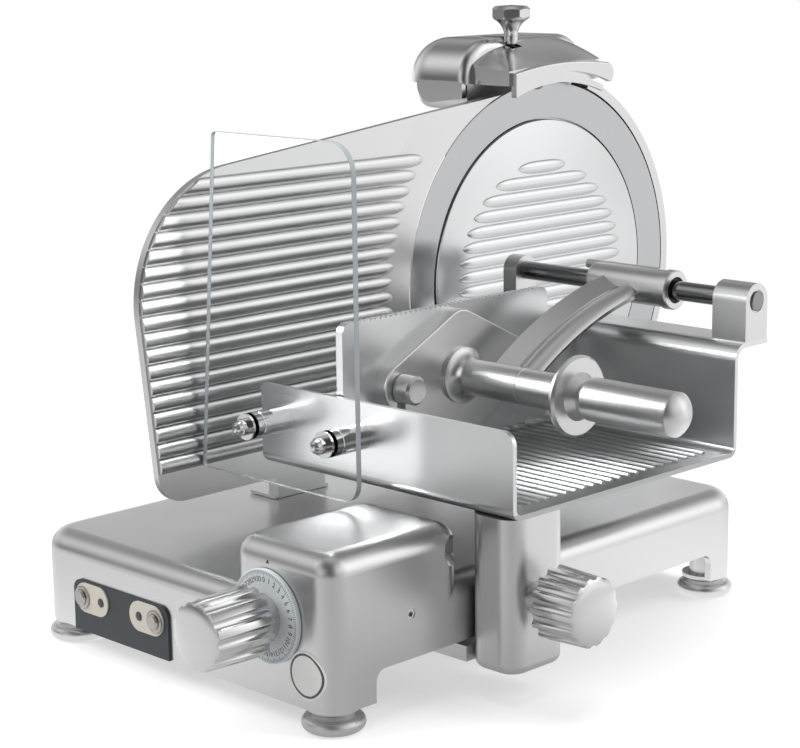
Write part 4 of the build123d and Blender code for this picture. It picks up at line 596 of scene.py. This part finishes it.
class SLICER_OT_gauge_ribs(bpy.types.Operator):
    """Ribs of the gauge plate, and its lip that follows the knife"""

    bl_idname = "slicer.gauge_ribs"
    bl_label = "Gauge ribs"

    def execute(self, context):
        low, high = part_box("gauge_plate")
        knife_low, knife_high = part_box("knife")
        centre = (knife_low + knife_high) / 2
        radius = (knife_high.y - knife_low.y) / 2
        face = high.x - PLATE_RIB
        lean = math.atan2(PLATE_REACH - PLATE_FOOT, PLATE_FRONT_RISE + PLATE_DROP)
        slope = math.atan2(PLATE_REAR_RISE - PLATE_FRONT_RISE, PLATE_REACH - PLATE_REAR)
        corner = Vector((
            0, centre.y - PLATE_REACH + PLATE_CORNER * (math.cos(slope) + math.sin(lean)),
            centre.z + PLATE_FRONT_RISE + PLATE_CORNER * (math.sin(slope) - math.cos(lean)),
        ))
        foot = Vector((0, centre.y - PLATE_FOOT, centre.z - PLATE_DROP))
        pattern = nosed_bar(RIB_HEIGHT, RIB_HALF, RIB_NOSE, RIB_BAR)
        pieces = []
        for row in range(RIB_COUNT):
            z = centre.z + RIB_TOP - row * RIB_PITCH
            tip = centre.y - math.sqrt((radius + RIB_END) ** 2 - (z - centre.z) ** 2)
            rib = copy_of(pattern)
            rib.location = (face, tip, z)
            bpy.ops.object.transform_apply(location=True, rotation=False, scale=False)
            edge = Vector((0, -math.cos(lean), -math.sin(lean)))
            place = foot - edge * PLATE_EDGE
            if z > corner.z:
                rise = z - corner.z
                edge = Vector((0, -math.sqrt(PLATE_CORNER ** 2 - rise ** 2), rise)).normalized()
                place = corner + edge * (PLATE_CORNER - PLATE_EDGE)
            cut_off(rib, place, edge)
            pieces.append(rib)
        bpy.data.objects.remove(pattern, do_unlink=True)
        lip = self.lip(centre, radius, low.x + LIP_BACK, face, high.x)
        cut_off(lip, (0, 0, low.z), (0, 0, -1))
        top = Vector((0, centre.y - PLATE_REAR, centre.z + PLATE_REAR_RISE))
        cut_off(lip, top, (0, -math.sin(slope), math.cos(slope)))
        pieces.append(lip)
        dress = join(pieces)
        bpy.ops.object.shade_smooth_by_angle(angle=SMOOTH)
        settle(dress, "gauge_ribs", "gauge", bpy.data.materials["satin_casting"])
        return {"FINISHED"}

    def lip(self, centre, radius, back, face, crest):
        """Ring beside the knife, level with it and sloping down to the plate's face."""
        deselect()
        inner = radius + LIP_GAP
        bpy.ops.mesh.primitive_plane_add(size=1, rotation=(math.radians(90), 0, 0))
        lip = bpy.context.object
        bpy.ops.object.transform_apply(location=False, rotation=True, scale=False)
        lip.scale = (crest - back, 1, LIP_FLAT)
        lip.location = ((crest + back) / 2, centre.y, centre.z - inner - LIP_FLAT / 2)
        bpy.ops.object.transform_apply(location=True, rotation=False, scale=True)
        pick_faces(lip, lambda face: False)
        bpy.ops.mesh.select_mode(type="VERT")
        bpy.ops.object.mode_set(mode="OBJECT")
        for corner in lip.data.vertices:
            corner.select = corner.co.z < centre.z - inner - LIP_FLAT / 2
        bpy.ops.object.mode_set(mode="EDIT")
        bpy.ops.mesh.extrude_region_move(TRANSFORM_OT_translate={"value": (0, 0, -LIP_RAMP)})
        bpy.ops.transform.resize(value=((face - back) / (crest - back), 1, 1), center_override=(back, 0, 0))
        bpy.ops.mesh.select_all(action="SELECT")
        bpy.ops.mesh.spin(steps=LIP_STEPS, angle=math.pi, center=(0, centre.y, centre.z), axis=(1, 0, 0))
        bpy.ops.mesh.select_all(action="SELECT")
        bpy.ops.mesh.remove_doubles(threshold=MERGE)
        bpy.ops.mesh.normals_make_consistent(inside=False)
        bpy.ops.object.mode_set(mode="OBJECT")
        return lip


# Knife cover: a disc with ribs that run to a point inside an oval
COVER_RIB = 3.0 * MM
COVER_RIB_HALF = 5.9 * MM
COVER_NOSE = 24.0 * MM
COVER_BAR = 220.0 * MM
COVER_COUNT = 16
COVER_PITCH = 13.1 * MM
COVER_REACH = 113.0 * MM
COVER_RISE = 102.5 * MM
COVER_EDGE = 1.2 * MM
COVER_SIDES = 144


class SLICER_OT_cover_face(bpy.types.Operator):
    """Ribbed disc in front of the knife"""

    bl_idname = "slicer.cover_face"
    bl_label = "Cover face"

    def execute(self, context):
        low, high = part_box("knife_cover")
        centre = (low + high) / 2
        face = high.x - COVER_RIB
        deselect()
        bpy.ops.mesh.primitive_cylinder_add(
            vertices=COVER_SIDES, radius=(high.y - low.y) / 2, depth=face - low.x,
            rotation=(0, math.radians(90), 0), location=((face + low.x) / 2, centre.y, centre.z),
        )
        disc = bpy.context.object
        bpy.ops.object.transform_apply(location=True, rotation=True, scale=True)
        apply_modifier(disc, "BEVEL", width=COVER_EDGE, segments=3, angle_limit=SMOOTH)
        pattern = nosed_bar(COVER_RIB, COVER_RIB_HALF, COVER_NOSE, COVER_BAR)
        pieces = []
        for row in range(COVER_COUNT):
            z = (row - (COVER_COUNT - 1) / 2) * COVER_PITCH
            rib = copy_of(pattern)
            rib.location = (0, COVER_REACH * math.sqrt(1 - (z / COVER_RISE) ** 2), z)
            bpy.ops.object.transform_apply(location=True, rotation=False, scale=False)
            cut_off(rib, (0, 0, 0), (0, -1, 0), fill=False)
            pieces.append(rib)
        bpy.data.objects.remove(pattern, do_unlink=True)
        ribs = join(pieces)
        apply_modifier(ribs, "MIRROR", use_axis=(False, True, False))
        ribs.location = (face, centre.y, centre.z)
        bpy.ops.object.transform_apply(location=True, rotation=False, scale=False)
        cover = join([disc, ribs])
        bpy.ops.object.shade_smooth_by_angle(angle=SMOOTH)
        settle(cover, "cover_face", "base", bpy.data.materials["brushed_sheet"])
        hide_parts("knife_cover")
        return {"FINISHED"}


# Fluted knobs of the thickness control and the carriage lock
KNOB_STEPS = 10
# Rings of the domed face: share of the knob's radius and rise
KNOB_DOME = ((0.86, 1.3 * MM), (0.66, 0.9 * MM), (0.40, 0.6 * MM), (0.14, 0.3 * MM))
KNOB_ROUND = 1.2 * MM
KNOB_TAPER = 0.95
KNOB_SHARP = math.radians(32)
KNOB_SMOOTH = math.radians(35)
THICKNESS_FLUTES = 12
THICKNESS_NECK = 17.0 * MM
THICKNESS_GAP = 13.0 * MM
THICKNESS_INSET = 4.0 * MM
LOCK_FLUTES = 14
LOCK_NECK = 12.0 * MM
LOCK_GAP = 18.0 * MM
LOCK_LENGTH = 60.0 * MM
LOCK_INSET = 2.0 * MM
FLUTE_RADIUS = 4.8 * MM
FLUTE_DEPTH = 3.2 * MM
FLUTE_SIDES = 24


def fluted_knob(radius, flutes, neck_radius, neck, length):
    """Fluted knob with a gently domed face, standing upright on its neck."""
    dome = sum(rise for _, rise in KNOB_DOME)
    deselect()
    bpy.ops.mesh.primitive_cylinder_add(
        vertices=flutes * KNOB_STEPS, radius=radius, depth=length - neck - dome,
        location=(0, 0, (length - dome + neck) / 2),
    )
    knob = bpy.context.object
    bpy.ops.object.transform_apply(location=True, rotation=False, scale=False)
    pick_faces(knob, lambda face: face.normal.z > SQUARE)
    bpy.ops.transform.resize(value=(KNOB_TAPER, KNOB_TAPER, 1), center_override=(0, 0, 0))
    size = 1.0
    for share, rise in KNOB_DOME:
        bpy.ops.mesh.extrude_region_move(TRANSFORM_OT_translate={"value": (0, 0, rise)})
        ratio = share / size
        bpy.ops.transform.resize(value=(ratio, ratio, 1), center_override=(0, 0, 0))
        size = share
    bpy.ops.object.mode_set(mode="OBJECT")
    pick_faces(knob, lambda face: face.normal.z < -SQUARE)
    bpy.ops.mesh.extrude_region_move()
    ratio = neck_radius / radius
    bpy.ops.transform.resize(value=(ratio, ratio, 1), center_override=(0, 0, 0))
    bpy.ops.mesh.extrude_region_move(TRANSFORM_OT_translate={"value": (0, 0, -neck)})
    bpy.ops.object.mode_set(mode="OBJECT")
    deselect()
    bpy.ops.mesh.primitive_cylinder_add(
        vertices=FLUTE_SIDES, radius=FLUTE_RADIUS, depth=2 * length,
        location=(radius + FLUTE_RADIUS - FLUTE_DEPTH, 0, length),
    )
    cutters = [bpy.context.object]
    bpy.ops.object.transform_apply(location=True, rotation=False, scale=False)
    for step in range(1, flutes):
        cutter = copy_of(cutters[0])
        cutter.rotation_euler.z = math.radians(360 * step / flutes)
        bpy.ops.object.transform_apply(location=False, rotation=True, scale=False)
        cutters.append(cutter)
    cutter = join(cutters)
    apply_modifier(knob, "BOOLEAN", operation="DIFFERENCE", object=cutter, solver="EXACT")
    bpy.data.objects.remove(cutter, do_unlink=True)
    apply_modifier(knob, "BEVEL", width=KNOB_ROUND, segments=2, angle_limit=KNOB_SHARP)
    bpy.ops.object.shade_smooth_by_angle(angle=KNOB_SMOOTH)
    return knob


class SLICER_OT_knobs(bpy.types.Operator):
    """Fluted knobs with domed faces"""

    bl_idname = "slicer.knobs"
    bl_label = "Fluted knobs"

    def execute(self, context):
        low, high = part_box("thickness_knob")
        length = high.y - low.y - THICKNESS_INSET
        knob = fluted_knob(sizes().thickness_knob, THICKNESS_FLUTES, THICKNESS_NECK, THICKNESS_GAP, length)
        knob.rotation_euler.x = math.radians(90)
        knob.location = ((low.x + high.x) / 2, high.y, (low.z + high.z) / 2)
        settle(knob, "thickness_grip", "thickness", bpy.data.materials["polished_casting"])
        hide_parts("thickness_knob")
        low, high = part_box("lock_knob")
        knob = fluted_knob(sizes().lock_knob, LOCK_FLUTES, LOCK_NECK, LOCK_GAP, LOCK_LENGTH - LOCK_INSET)
        knob.rotation_euler.y = math.radians(90)
        knob.location = (high.x - LOCK_LENGTH, (low.y + high.y) / 2, (low.z + high.z) / 2)
        settle(knob, "lock_grip", "lock_knob", bpy.data.materials["polished_casting"])
        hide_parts("lock_knob")
        return {"FINISHED"}


# Plain round plate on the front of the base
FRONT_PLATE_PLACE = (105.1 * MM, 44.2 * MM)
FRONT_PLATE_RADIUS = 18.0 * MM
FRONT_PLATE_SHEET = 0.6 * MM
FRONT_PLATE_SIDES = 64
# Rings of the plate: share of its radius
FRONT_PLATE_RINGS = (0.3, 0.55, 0.82, 0.92, 1.0)


class SLICER_OT_front_plate(bpy.types.Operator):
    """Plain white disc with a grey ring, laid on the casting's front corner"""

    bl_idname = "slicer.front_plate"
    bl_label = "Front plate"

    def execute(self, context):
        low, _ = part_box("base_casting")
        deselect()
        start = FRONT_PLATE_RINGS[0] * FRONT_PLATE_RADIUS
        bpy.ops.mesh.primitive_circle_add(vertices=FRONT_PLATE_SIDES, radius=start, fill_type="NGON")
        plate = context.object
        pick_faces(plate, lambda face: True)
        bpy.ops.mesh.select_mode(type="EDGE")
        size = FRONT_PLATE_RINGS[0]
        bpy.ops.mesh.region_to_loop()
        for share in FRONT_PLATE_RINGS[1:]:
            bpy.ops.mesh.extrude_edges_move()
            bpy.ops.transform.resize(value=(share / size, share / size, 1), center_override=(0, 0, 0))
            size = share
        bpy.ops.object.mode_set(mode="OBJECT")
        plate.rotation_euler.x = math.radians(90)
        plate.location = (FRONT_PLATE_PLACE[0], low.y - FRONT_PLATE_RADIUS, FRONT_PLATE_PLACE[1])
        bpy.ops.object.transform_apply(location=True, rotation=True, scale=True)
        apply_modifier(
            plate, "SHRINKWRAP", target=NODES["base_casting"], wrap_method="PROJECT", use_project_y=True,
            use_positive_direction=True, use_negative_direction=False, offset=FRONT_PLATE_SHEET / 2,
        )
        apply_modifier(plate, "SOLIDIFY", thickness=FRONT_PLATE_SHEET, offset=0.0)
        settle(plate, "front_plate", "base", bpy.data.materials["white_enamel"])
        plate.data.materials.append(bpy.data.materials["grey_ring"])
        centre = Vector((FRONT_PLATE_PLACE[0], 0, FRONT_PLATE_PLACE[1]))
        for face in plate.data.polygons:
            away = (face.center - centre) * Vector((1, 0, 1))
            share = away.length / FRONT_PLATE_RADIUS
            face.material_index = int(FRONT_PLATE_RINGS[2] < share < FRONT_PLATE_RINGS[3])
        return {"FINISHED"}


# Dial figures and marks
TICKS_PER_FIGURE = 4
TICK_WIDTH = 0.32 * MM
TICK_LENGTHS = (3.4 * MM, 2.2 * MM)
TICK_INSET = 1.1 * MM
FIGURE_INSET = 7.6 * MM
# Text size that gives figures of unit height
TEXT_SIZE = 1.4
POINTER_SIZE = 1.9 * MM
POINTER_RISE = 4.6 * MM
POINTER_ROUND = 0.2 * MM


def flat_text(body, height):
    """Text turned into a thin mesh, centred on the origin and facing up."""
    deselect()
    bpy.ops.object.text_add(location=(0, 0, 0))
    text = bpy.context.object
    text.data.body = body
    text.data.size = height * TEXT_SIZE
    text.data.align_x = "CENTER"
    text.data.align_y = "CENTER"
    text.data.extrude = sizes().mark_height / 2
    bpy.ops.object.convert(target="MESH")
    return bpy.context.object


def flat_bar(width, height):
    """Thin bar, centred on the origin and facing up."""
    deselect()
    bpy.ops.mesh.primitive_cube_add(size=1, location=(0, 0, 0))
    bar = bpy.context.object
    bar.scale = (width, height, sizes().mark_height)
    bpy.ops.object.transform_apply(location=False, rotation=False, scale=True)
    return bar


def dial_place(angle, radius, face):
    """Place on the dial's face: the angle runs clockwise from the top, and up points outwards."""
    low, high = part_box("thickness_dial")
    centre = (low + high) / 2
    turn = Matrix.Rotation(math.radians(90), 4, "X")
    lean = Matrix.Rotation(math.radians(angle), 4, "Y")
    return Matrix.Translation((centre.x, face, centre.z)) @ lean @ Matrix.Translation((0, 0, radius)) @ turn


class SLICER_OT_dial_figures(bpy.types.Operator):
    """Figures and graduations on the thickness dial"""

    bl_idname = "slicer.dial_figures"
    bl_label = "Dial figures"

    def execute(self, context):
        low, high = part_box("thickness_dial")
        radius = (high.x - low.x) / 2
        face = low.y - sizes().mark_height / 2
        last = sizes().last_figure
        step = 360 / (last + 1)
        marks = []
        for figure in range(last + 1):
            text = flat_text(str(figure), sizes().figure_height)
            text.matrix_world = dial_place(figure * step, radius - FIGURE_INSET, face)
            marks.append(text)
            for part in range(TICKS_PER_FIGURE):
                length = TICK_LENGTHS[min(part, 1)]
                bar = flat_bar(TICK_WIDTH, length)
                turn = (figure + part / TICKS_PER_FIGURE) * step
                bar.matrix_world = dial_place(turn, radius - TICK_INSET - length / 2, face)
                marks.append(bar)
        for mark in marks:
            activate(mark)
            bpy.ops.object.transform_apply(location=True, rotation=True, scale=True)
        settle(join(marks), "dial_figures", "thickness", bpy.data.materials["ink"])
        self.pointer(low, high)
        return {"FINISHED"}

    def pointer(self, low, high):
        """Small mark on the casting, above the dial."""
        deselect()
        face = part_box("base_casting")[0].y - sizes().mark_height / 2
        bpy.ops.mesh.primitive_cylinder_add(
            vertices=3, radius=POINTER_SIZE, depth=sizes().mark_height, rotation=(math.radians(90), 0, 0),
            location=((low.x + high.x) / 2, face, high.z + POINTER_RISE),
        )
        pointer = bpy.context.object
        bpy.ops.object.transform_apply(location=True, rotation=True, scale=True)
        apply_modifier(pointer, "BEVEL", width=POINTER_ROUND, segments=2, affect="EDGES")
        settle(pointer, "dial_pointer", "base", bpy.data.materials["ink"])


# Stage: camera, lamps, floor, card and sky
# The camera's place and directions, then sensor in mm, focal length and width in pixels
CAMERA_PLACE = (1.16345, -1.26795, 0.5586)
CAMERA_RIGHT = (0.7069, 0.7072, -0.0128)
CAMERA_FORWARD = (-0.6941, 0.6902, -0.2042)
SENSOR = 36.0
FOCAL_PIXELS = 2118.5
PHOTO_WIDTH = 800
CAMERA_CLIP = (0.05, 50.0)
# Lamps: name, place, power, width and height. They all look at one point.
LAMPS = (
    ("left_softbox", (-1.6, -1.7, 1.7), 54, 1.6, 1.2),
    ("right_softbox", (1.9, 0.9, 1.9), 26, 1.0, 1.4),
    ("top_softbox", (0.0, 0.2, 2.8), 46, 2.2, 2.0),
)
LAMP_TARGET = (0.0, 0.0, 0.2)
# Floor: distances over which its far part begins and its close part ends, then tone, glow and roughness
FLOOR_FADE = (0.75, 1.7)
FLOOR_CLOSE = (0.62, 0.35)
FLOOR_TONE = 0.52
FLOOR_GLOW = 0.52
FLOOR_ROUGH = 0.7
# How bright the floor looks in the metal, by its distance: front right, front left, back left, back right
FLOOR_MIRROR = {
    "close": (0.35, 1.00, 0.25, 1.10),
    "middle": (0.45, 0.70, 0.35, 0.75),
    "far": (0.20, 0.55, 0.45, 1.22),
}
# How much of the lamps' light and shadow on the floor shows in the metal
FLOOR_SHADOW = 0.25
CARD_PLACE = (-0.95, 1.05, 0.27)
CARD_SIZE = (2.6, 0.5)
CARD_GLOW = 1.1
# Sky: its tone in the metal, how narrow its soft lights are, and its strength for dull faces
SKY_TONE = 0.04
SKY_SPREAD = 12.0
SKY_PLAIN = 0.50
# Soft lights seen in the metal: shares toward the front right, the front left and up, and strength
SKY_LIGHTS = (
    ((0.0, -1.0, 0.2), 1.3), ((-0.7, -0.7, 0.2), 0.9), ((-0.7, 0.7, 0.2), 0.9), ((0.7, 0.7, 0.2), 0.8),
    ((0.7, -0.7, 0.2), 0.7), ((0.0, 0.8, 0.6), 1.0), ((-0.8, 0.0, 0.6), 0.4), ((0.0, -0.8, 0.6), 0.8),
    ((0.55, -0.55, 0.6), 0.5), ((0.0, 0.0, 1.0), 0.6),
)
FRONT_RIGHT = Vector((1, -1, 0)).normalized()
FRONT_LEFT = Vector((-1, -1, 0)).normalized()


def studio_sides(tree, vector):
    """How far a direction points to the front right and to the front left of the object, from -1 to 1."""
    flat = tree.nodes.new("ShaderNodeVectorMath")
    flat.operation = "MULTIPLY"
    flat.inputs[1].default_value = (1, 1, 0)
    tree.links.new(vector, flat.inputs[0])
    unit = tree.nodes.new("ShaderNodeVectorMath")
    unit.operation = "NORMALIZE"
    tree.links.new(flat.outputs[0], unit.inputs[0])
    sides = []
    for direction in (FRONT_RIGHT, FRONT_LEFT):
        along = tree.nodes.new("ShaderNodeVectorMath")
        along.operation = "DOT_PRODUCT"
        along.inputs[1].default_value = direction
        tree.links.new(unit.outputs[0], along.inputs[0])
        sides.append(along.outputs["Value"])
    return sides


def ray_kinds(tree):
    """Whether a ray is the camera's own, also through the clear guard, a mirror ray or a diffuse one."""
    path = tree.nodes.new("ShaderNodeLightPath").outputs
    shown = math_node(tree, "MAXIMUM", path["Is Camera Ray"], path["Is Transmission Ray"])
    return shown, path["Is Glossy Ray"], path["Is Diffuse Ray"]


def eased(tree, value, start, end):
    """0 before start and 1 past end, with a soft step between them."""
    node = tree.nodes.new("ShaderNodeMapRange")
    node.interpolation_type = "SMOOTHSTEP"
    node.inputs["From Min"].default_value = min(start, end)
    node.inputs["From Max"].default_value = max(start, end)
    node.inputs["To Min"].default_value = float(start > end)
    node.inputs["To Max"].default_value = float(start < end)
    tree.links.new(value, node.inputs["Value"])
    return node.outputs["Result"]


class SLICER_OT_stage(bpy.types.Operator):
    """Pale floor, soft studio light and the camera"""

    bl_idname = "slicer.stage"
    bl_label = "Stage"

    def execute(self, context):
        self.floor()
        self.lights()
        self.card()
        self.world()
        self.camera()
        context.scene.view_settings.view_transform = "Standard"
        return {"FINISHED"}

    def floor(self):
        deselect()
        bpy.ops.mesh.primitive_plane_add(size=2 * sizes().floor_size, location=(0, 0, 0))
        floor = bpy.context.object
        floor.name = "studio_floor"
        material, tree, shader, place = base_material("studio_floor")
        shader.inputs["Roughness"].default_value = FLOOR_ROUGH
        shader.inputs["Specular IOR Level"].default_value = 0.0
        shader.inputs["Emission Color"].default_value = (1, 1, 1, 1)
        shown, glossy, _ = ray_kinds(tree)
        away = tree.nodes.new("ShaderNodeVectorMath")
        away.operation = "LENGTH"
        tree.links.new(place, away.inputs[0])
        far = eased(tree, away.outputs["Value"], *FLOOR_FADE)
        close = eased(tree, away.outputs["Value"], *FLOOR_CLOSE)
        middle = math_node(tree, "SUBTRACT", math_node(tree, "SUBTRACT", 1.0, far), close)
        lit = math_node(tree, "MULTIPLY", math_node(tree, "SUBTRACT", 1.0, far), FLOOR_TONE)
        dimmed = math_node(tree, "SUBTRACT", 1.0, math_node(tree, "MULTIPLY", glossy, 1 - FLOOR_SHADOW))
        tree.links.new(math_node(tree, "MULTIPLY", lit, dimmed), shader.inputs["Base Color"])
        near, left = studio_sides(tree, place)
        quarters = []
        for side, sign in ((near, 1.0), (left, 1.0), (near, -1.0), (left, -1.0)):
            part = math_node(tree, "MAXIMUM", math_node(tree, "MULTIPLY", side, sign), 0.0)
            quarters.append(math_node(tree, "MULTIPLY", part, part))
        mirrored = 0.0
        for ring, tones in zip((close, middle, far), FLOOR_MIRROR.values()):
            for quarter, tone in zip(quarters, tones):
                zone = math_node(tree, "MULTIPLY", math_node(tree, "MULTIPLY", ring, quarter), tone)
                mirrored = math_node(tree, "ADD", zone, mirrored)
        plain = math_node(tree, "ADD", math_node(tree, "MULTIPLY", far, 1 - FLOOR_GLOW), FLOOR_GLOW)
        seen = math_node(tree, "MULTIPLY", shown, plain)
        glow = math_node(tree, "ADD", seen, math_node(tree, "MULTIPLY", glossy, mirrored))
        tree.links.new(glow, shader.inputs["Emission Strength"])
        floor.data.materials.append(material)

    def lights(self):
        """Soft lamps for the floor and the plastics. The metal sees the world, floor and card instead."""
        for name, place, energy, width, height in LAMPS:
            deselect()
            bpy.ops.object.light_add(type="AREA", location=place)
            lamp = bpy.context.object
            lamp.name = name
            lamp.data.shape = "RECTANGLE"
            lamp.data.size = width
            lamp.data.size_y = height
            lamp.data.energy = energy
            aim = Vector(LAMP_TARGET) - Vector(place)
            lamp.rotation_euler = aim.to_track_quat("-Z", "Y").to_euler()
            lamp.visible_glossy = False

    def card(self):
        """Low pale card at the back left, seen only in the metal."""
        deselect()
        bpy.ops.mesh.primitive_plane_add(size=1)
        card = bpy.context.object
        card.name = "studio_card"
        card.scale = (*CARD_SIZE, 1)
        card.rotation_euler = FRONT_RIGHT.to_track_quat("Z", "Y").to_euler()
        card.location = CARD_PLACE
        material, _, shader, _ = base_material("studio_card")
        shader.inputs["Base Color"].default_value = (0, 0, 0, 1)
        shader.inputs["Specular IOR Level"].default_value = 0.0
        shader.inputs["Emission Color"].default_value = (1, 1, 1, 1)
        shader.inputs["Emission Strength"].default_value = CARD_GLOW
        card.data.materials.append(material)
        card.visible_camera = card.visible_diffuse = False
        card.visible_transmission = card.visible_shadow = False

    def world(self):
        world = bpy.data.worlds.new("studio")
        bpy.context.scene.world = world
        world.use_nodes = True
        tree = world.node_tree
        back = tree.nodes["Background"]
        place = tree.nodes.new("ShaderNodeTexCoord").outputs["Generated"]
        tone = SKY_TONE
        for (near, left, up), strength in SKY_LIGHTS:
            toward = tree.nodes.new("ShaderNodeVectorMath")
            toward.operation = "DOT_PRODUCT"
            direction = FRONT_RIGHT * near + FRONT_LEFT * left + Vector((0, 0, up))
            toward.inputs[1].default_value = direction.normalized()
            tree.links.new(place, toward.inputs[0])
            facing = math_node(tree, "MAXIMUM", toward.outputs["Value"], 0.0)
            patch = math_node(tree, "POWER", facing, SKY_SPREAD)
            tone = math_node(tree, "ADD", math_node(tree, "MULTIPLY", patch, strength), tone)
        shown, glossy, diffuse = ray_kinds(tree)
        plain = math_node(tree, "MAXIMUM", shown, math_node(tree, "MULTIPLY", diffuse, SKY_PLAIN))
        mirrored = math_node(tree, "MULTIPLY", glossy, tone)
        tree.links.new(math_node(tree, "ADD", plain, mirrored), back.inputs["Strength"])
        back.inputs["Color"].default_value = (1, 1, 1, 1)

    def camera(self):
        deselect()
        bpy.ops.object.camera_add()
        camera = bpy.context.object
        camera.name = "photo_camera"
        right = Vector(CAMERA_RIGHT).normalized()
        forward = Vector(CAMERA_FORWARD).normalized()
        up = right.cross(forward).normalized()
        right = forward.cross(up).normalized()
        turn = Matrix((right, up, -forward)).transposed().to_4x4()
        camera.matrix_world = Matrix.Translation(CAMERA_PLACE) @ turn
        camera.data.sensor_width = SENSOR
        camera.data.lens = SENSOR * FOCAL_PIXELS / PHOTO_WIDTH
        camera.data.clip_start, camera.data.clip_end = CAMERA_CLIP
        bpy.context.scene.camera = camera


class SLICER_PT_panel(bpy.types.Panel):
    """Steps that dress the slicer"""

    bl_idname = "SLICER_PT_panel"
    bl_label = "Slicer"
    bl_space_type = "VIEW_3D"
    bl_region_type = "UI"
    bl_category = "Slicer"

    def draw(self, context):
        for step in STEPS:
            self.layout.operator(step.bl_idname)
        for group in (context.scene.slicer_finishes, context.scene.slicer_sizes):
            for label in group.__annotations__:
                self.layout.prop(group, label)


STEPS = (
    SLICER_OT_stage, SLICER_OT_finishes, SLICER_OT_guard_pane, SLICER_OT_gauge_ribs,
    SLICER_OT_cover_face, SLICER_OT_knobs, SLICER_OT_front_plate, SLICER_OT_dial_figures,
)
CLASSES = (SlicerFinishes, SlicerSizes, *STEPS, SLICER_PT_panel)


def register():
    for cls in CLASSES:
        bpy.utils.register_class(cls)
    bpy.types.Scene.slicer_finishes = PointerProperty(type=SlicerFinishes)
    bpy.types.Scene.slicer_sizes = PointerProperty(type=SlicerSizes)


def unregister():
    del bpy.types.Scene.slicer_finishes
    del bpy.types.Scene.slicer_sizes
    for cls in reversed(CLASSES):
        bpy.utils.unregister_class(cls)


def main():
    register()
    bpy.ops.slicer.stage()
    bpy.ops.slicer.finishes()
    bpy.ops.slicer.guard_pane()
    bpy.ops.slicer.gauge_ribs()
    bpy.ops.slicer.cover_face()
    bpy.ops.slicer.knobs()
    bpy.ops.slicer.front_plate()
    bpy.ops.slicer.dial_figures()


if __name__ == "__main__":
    main()
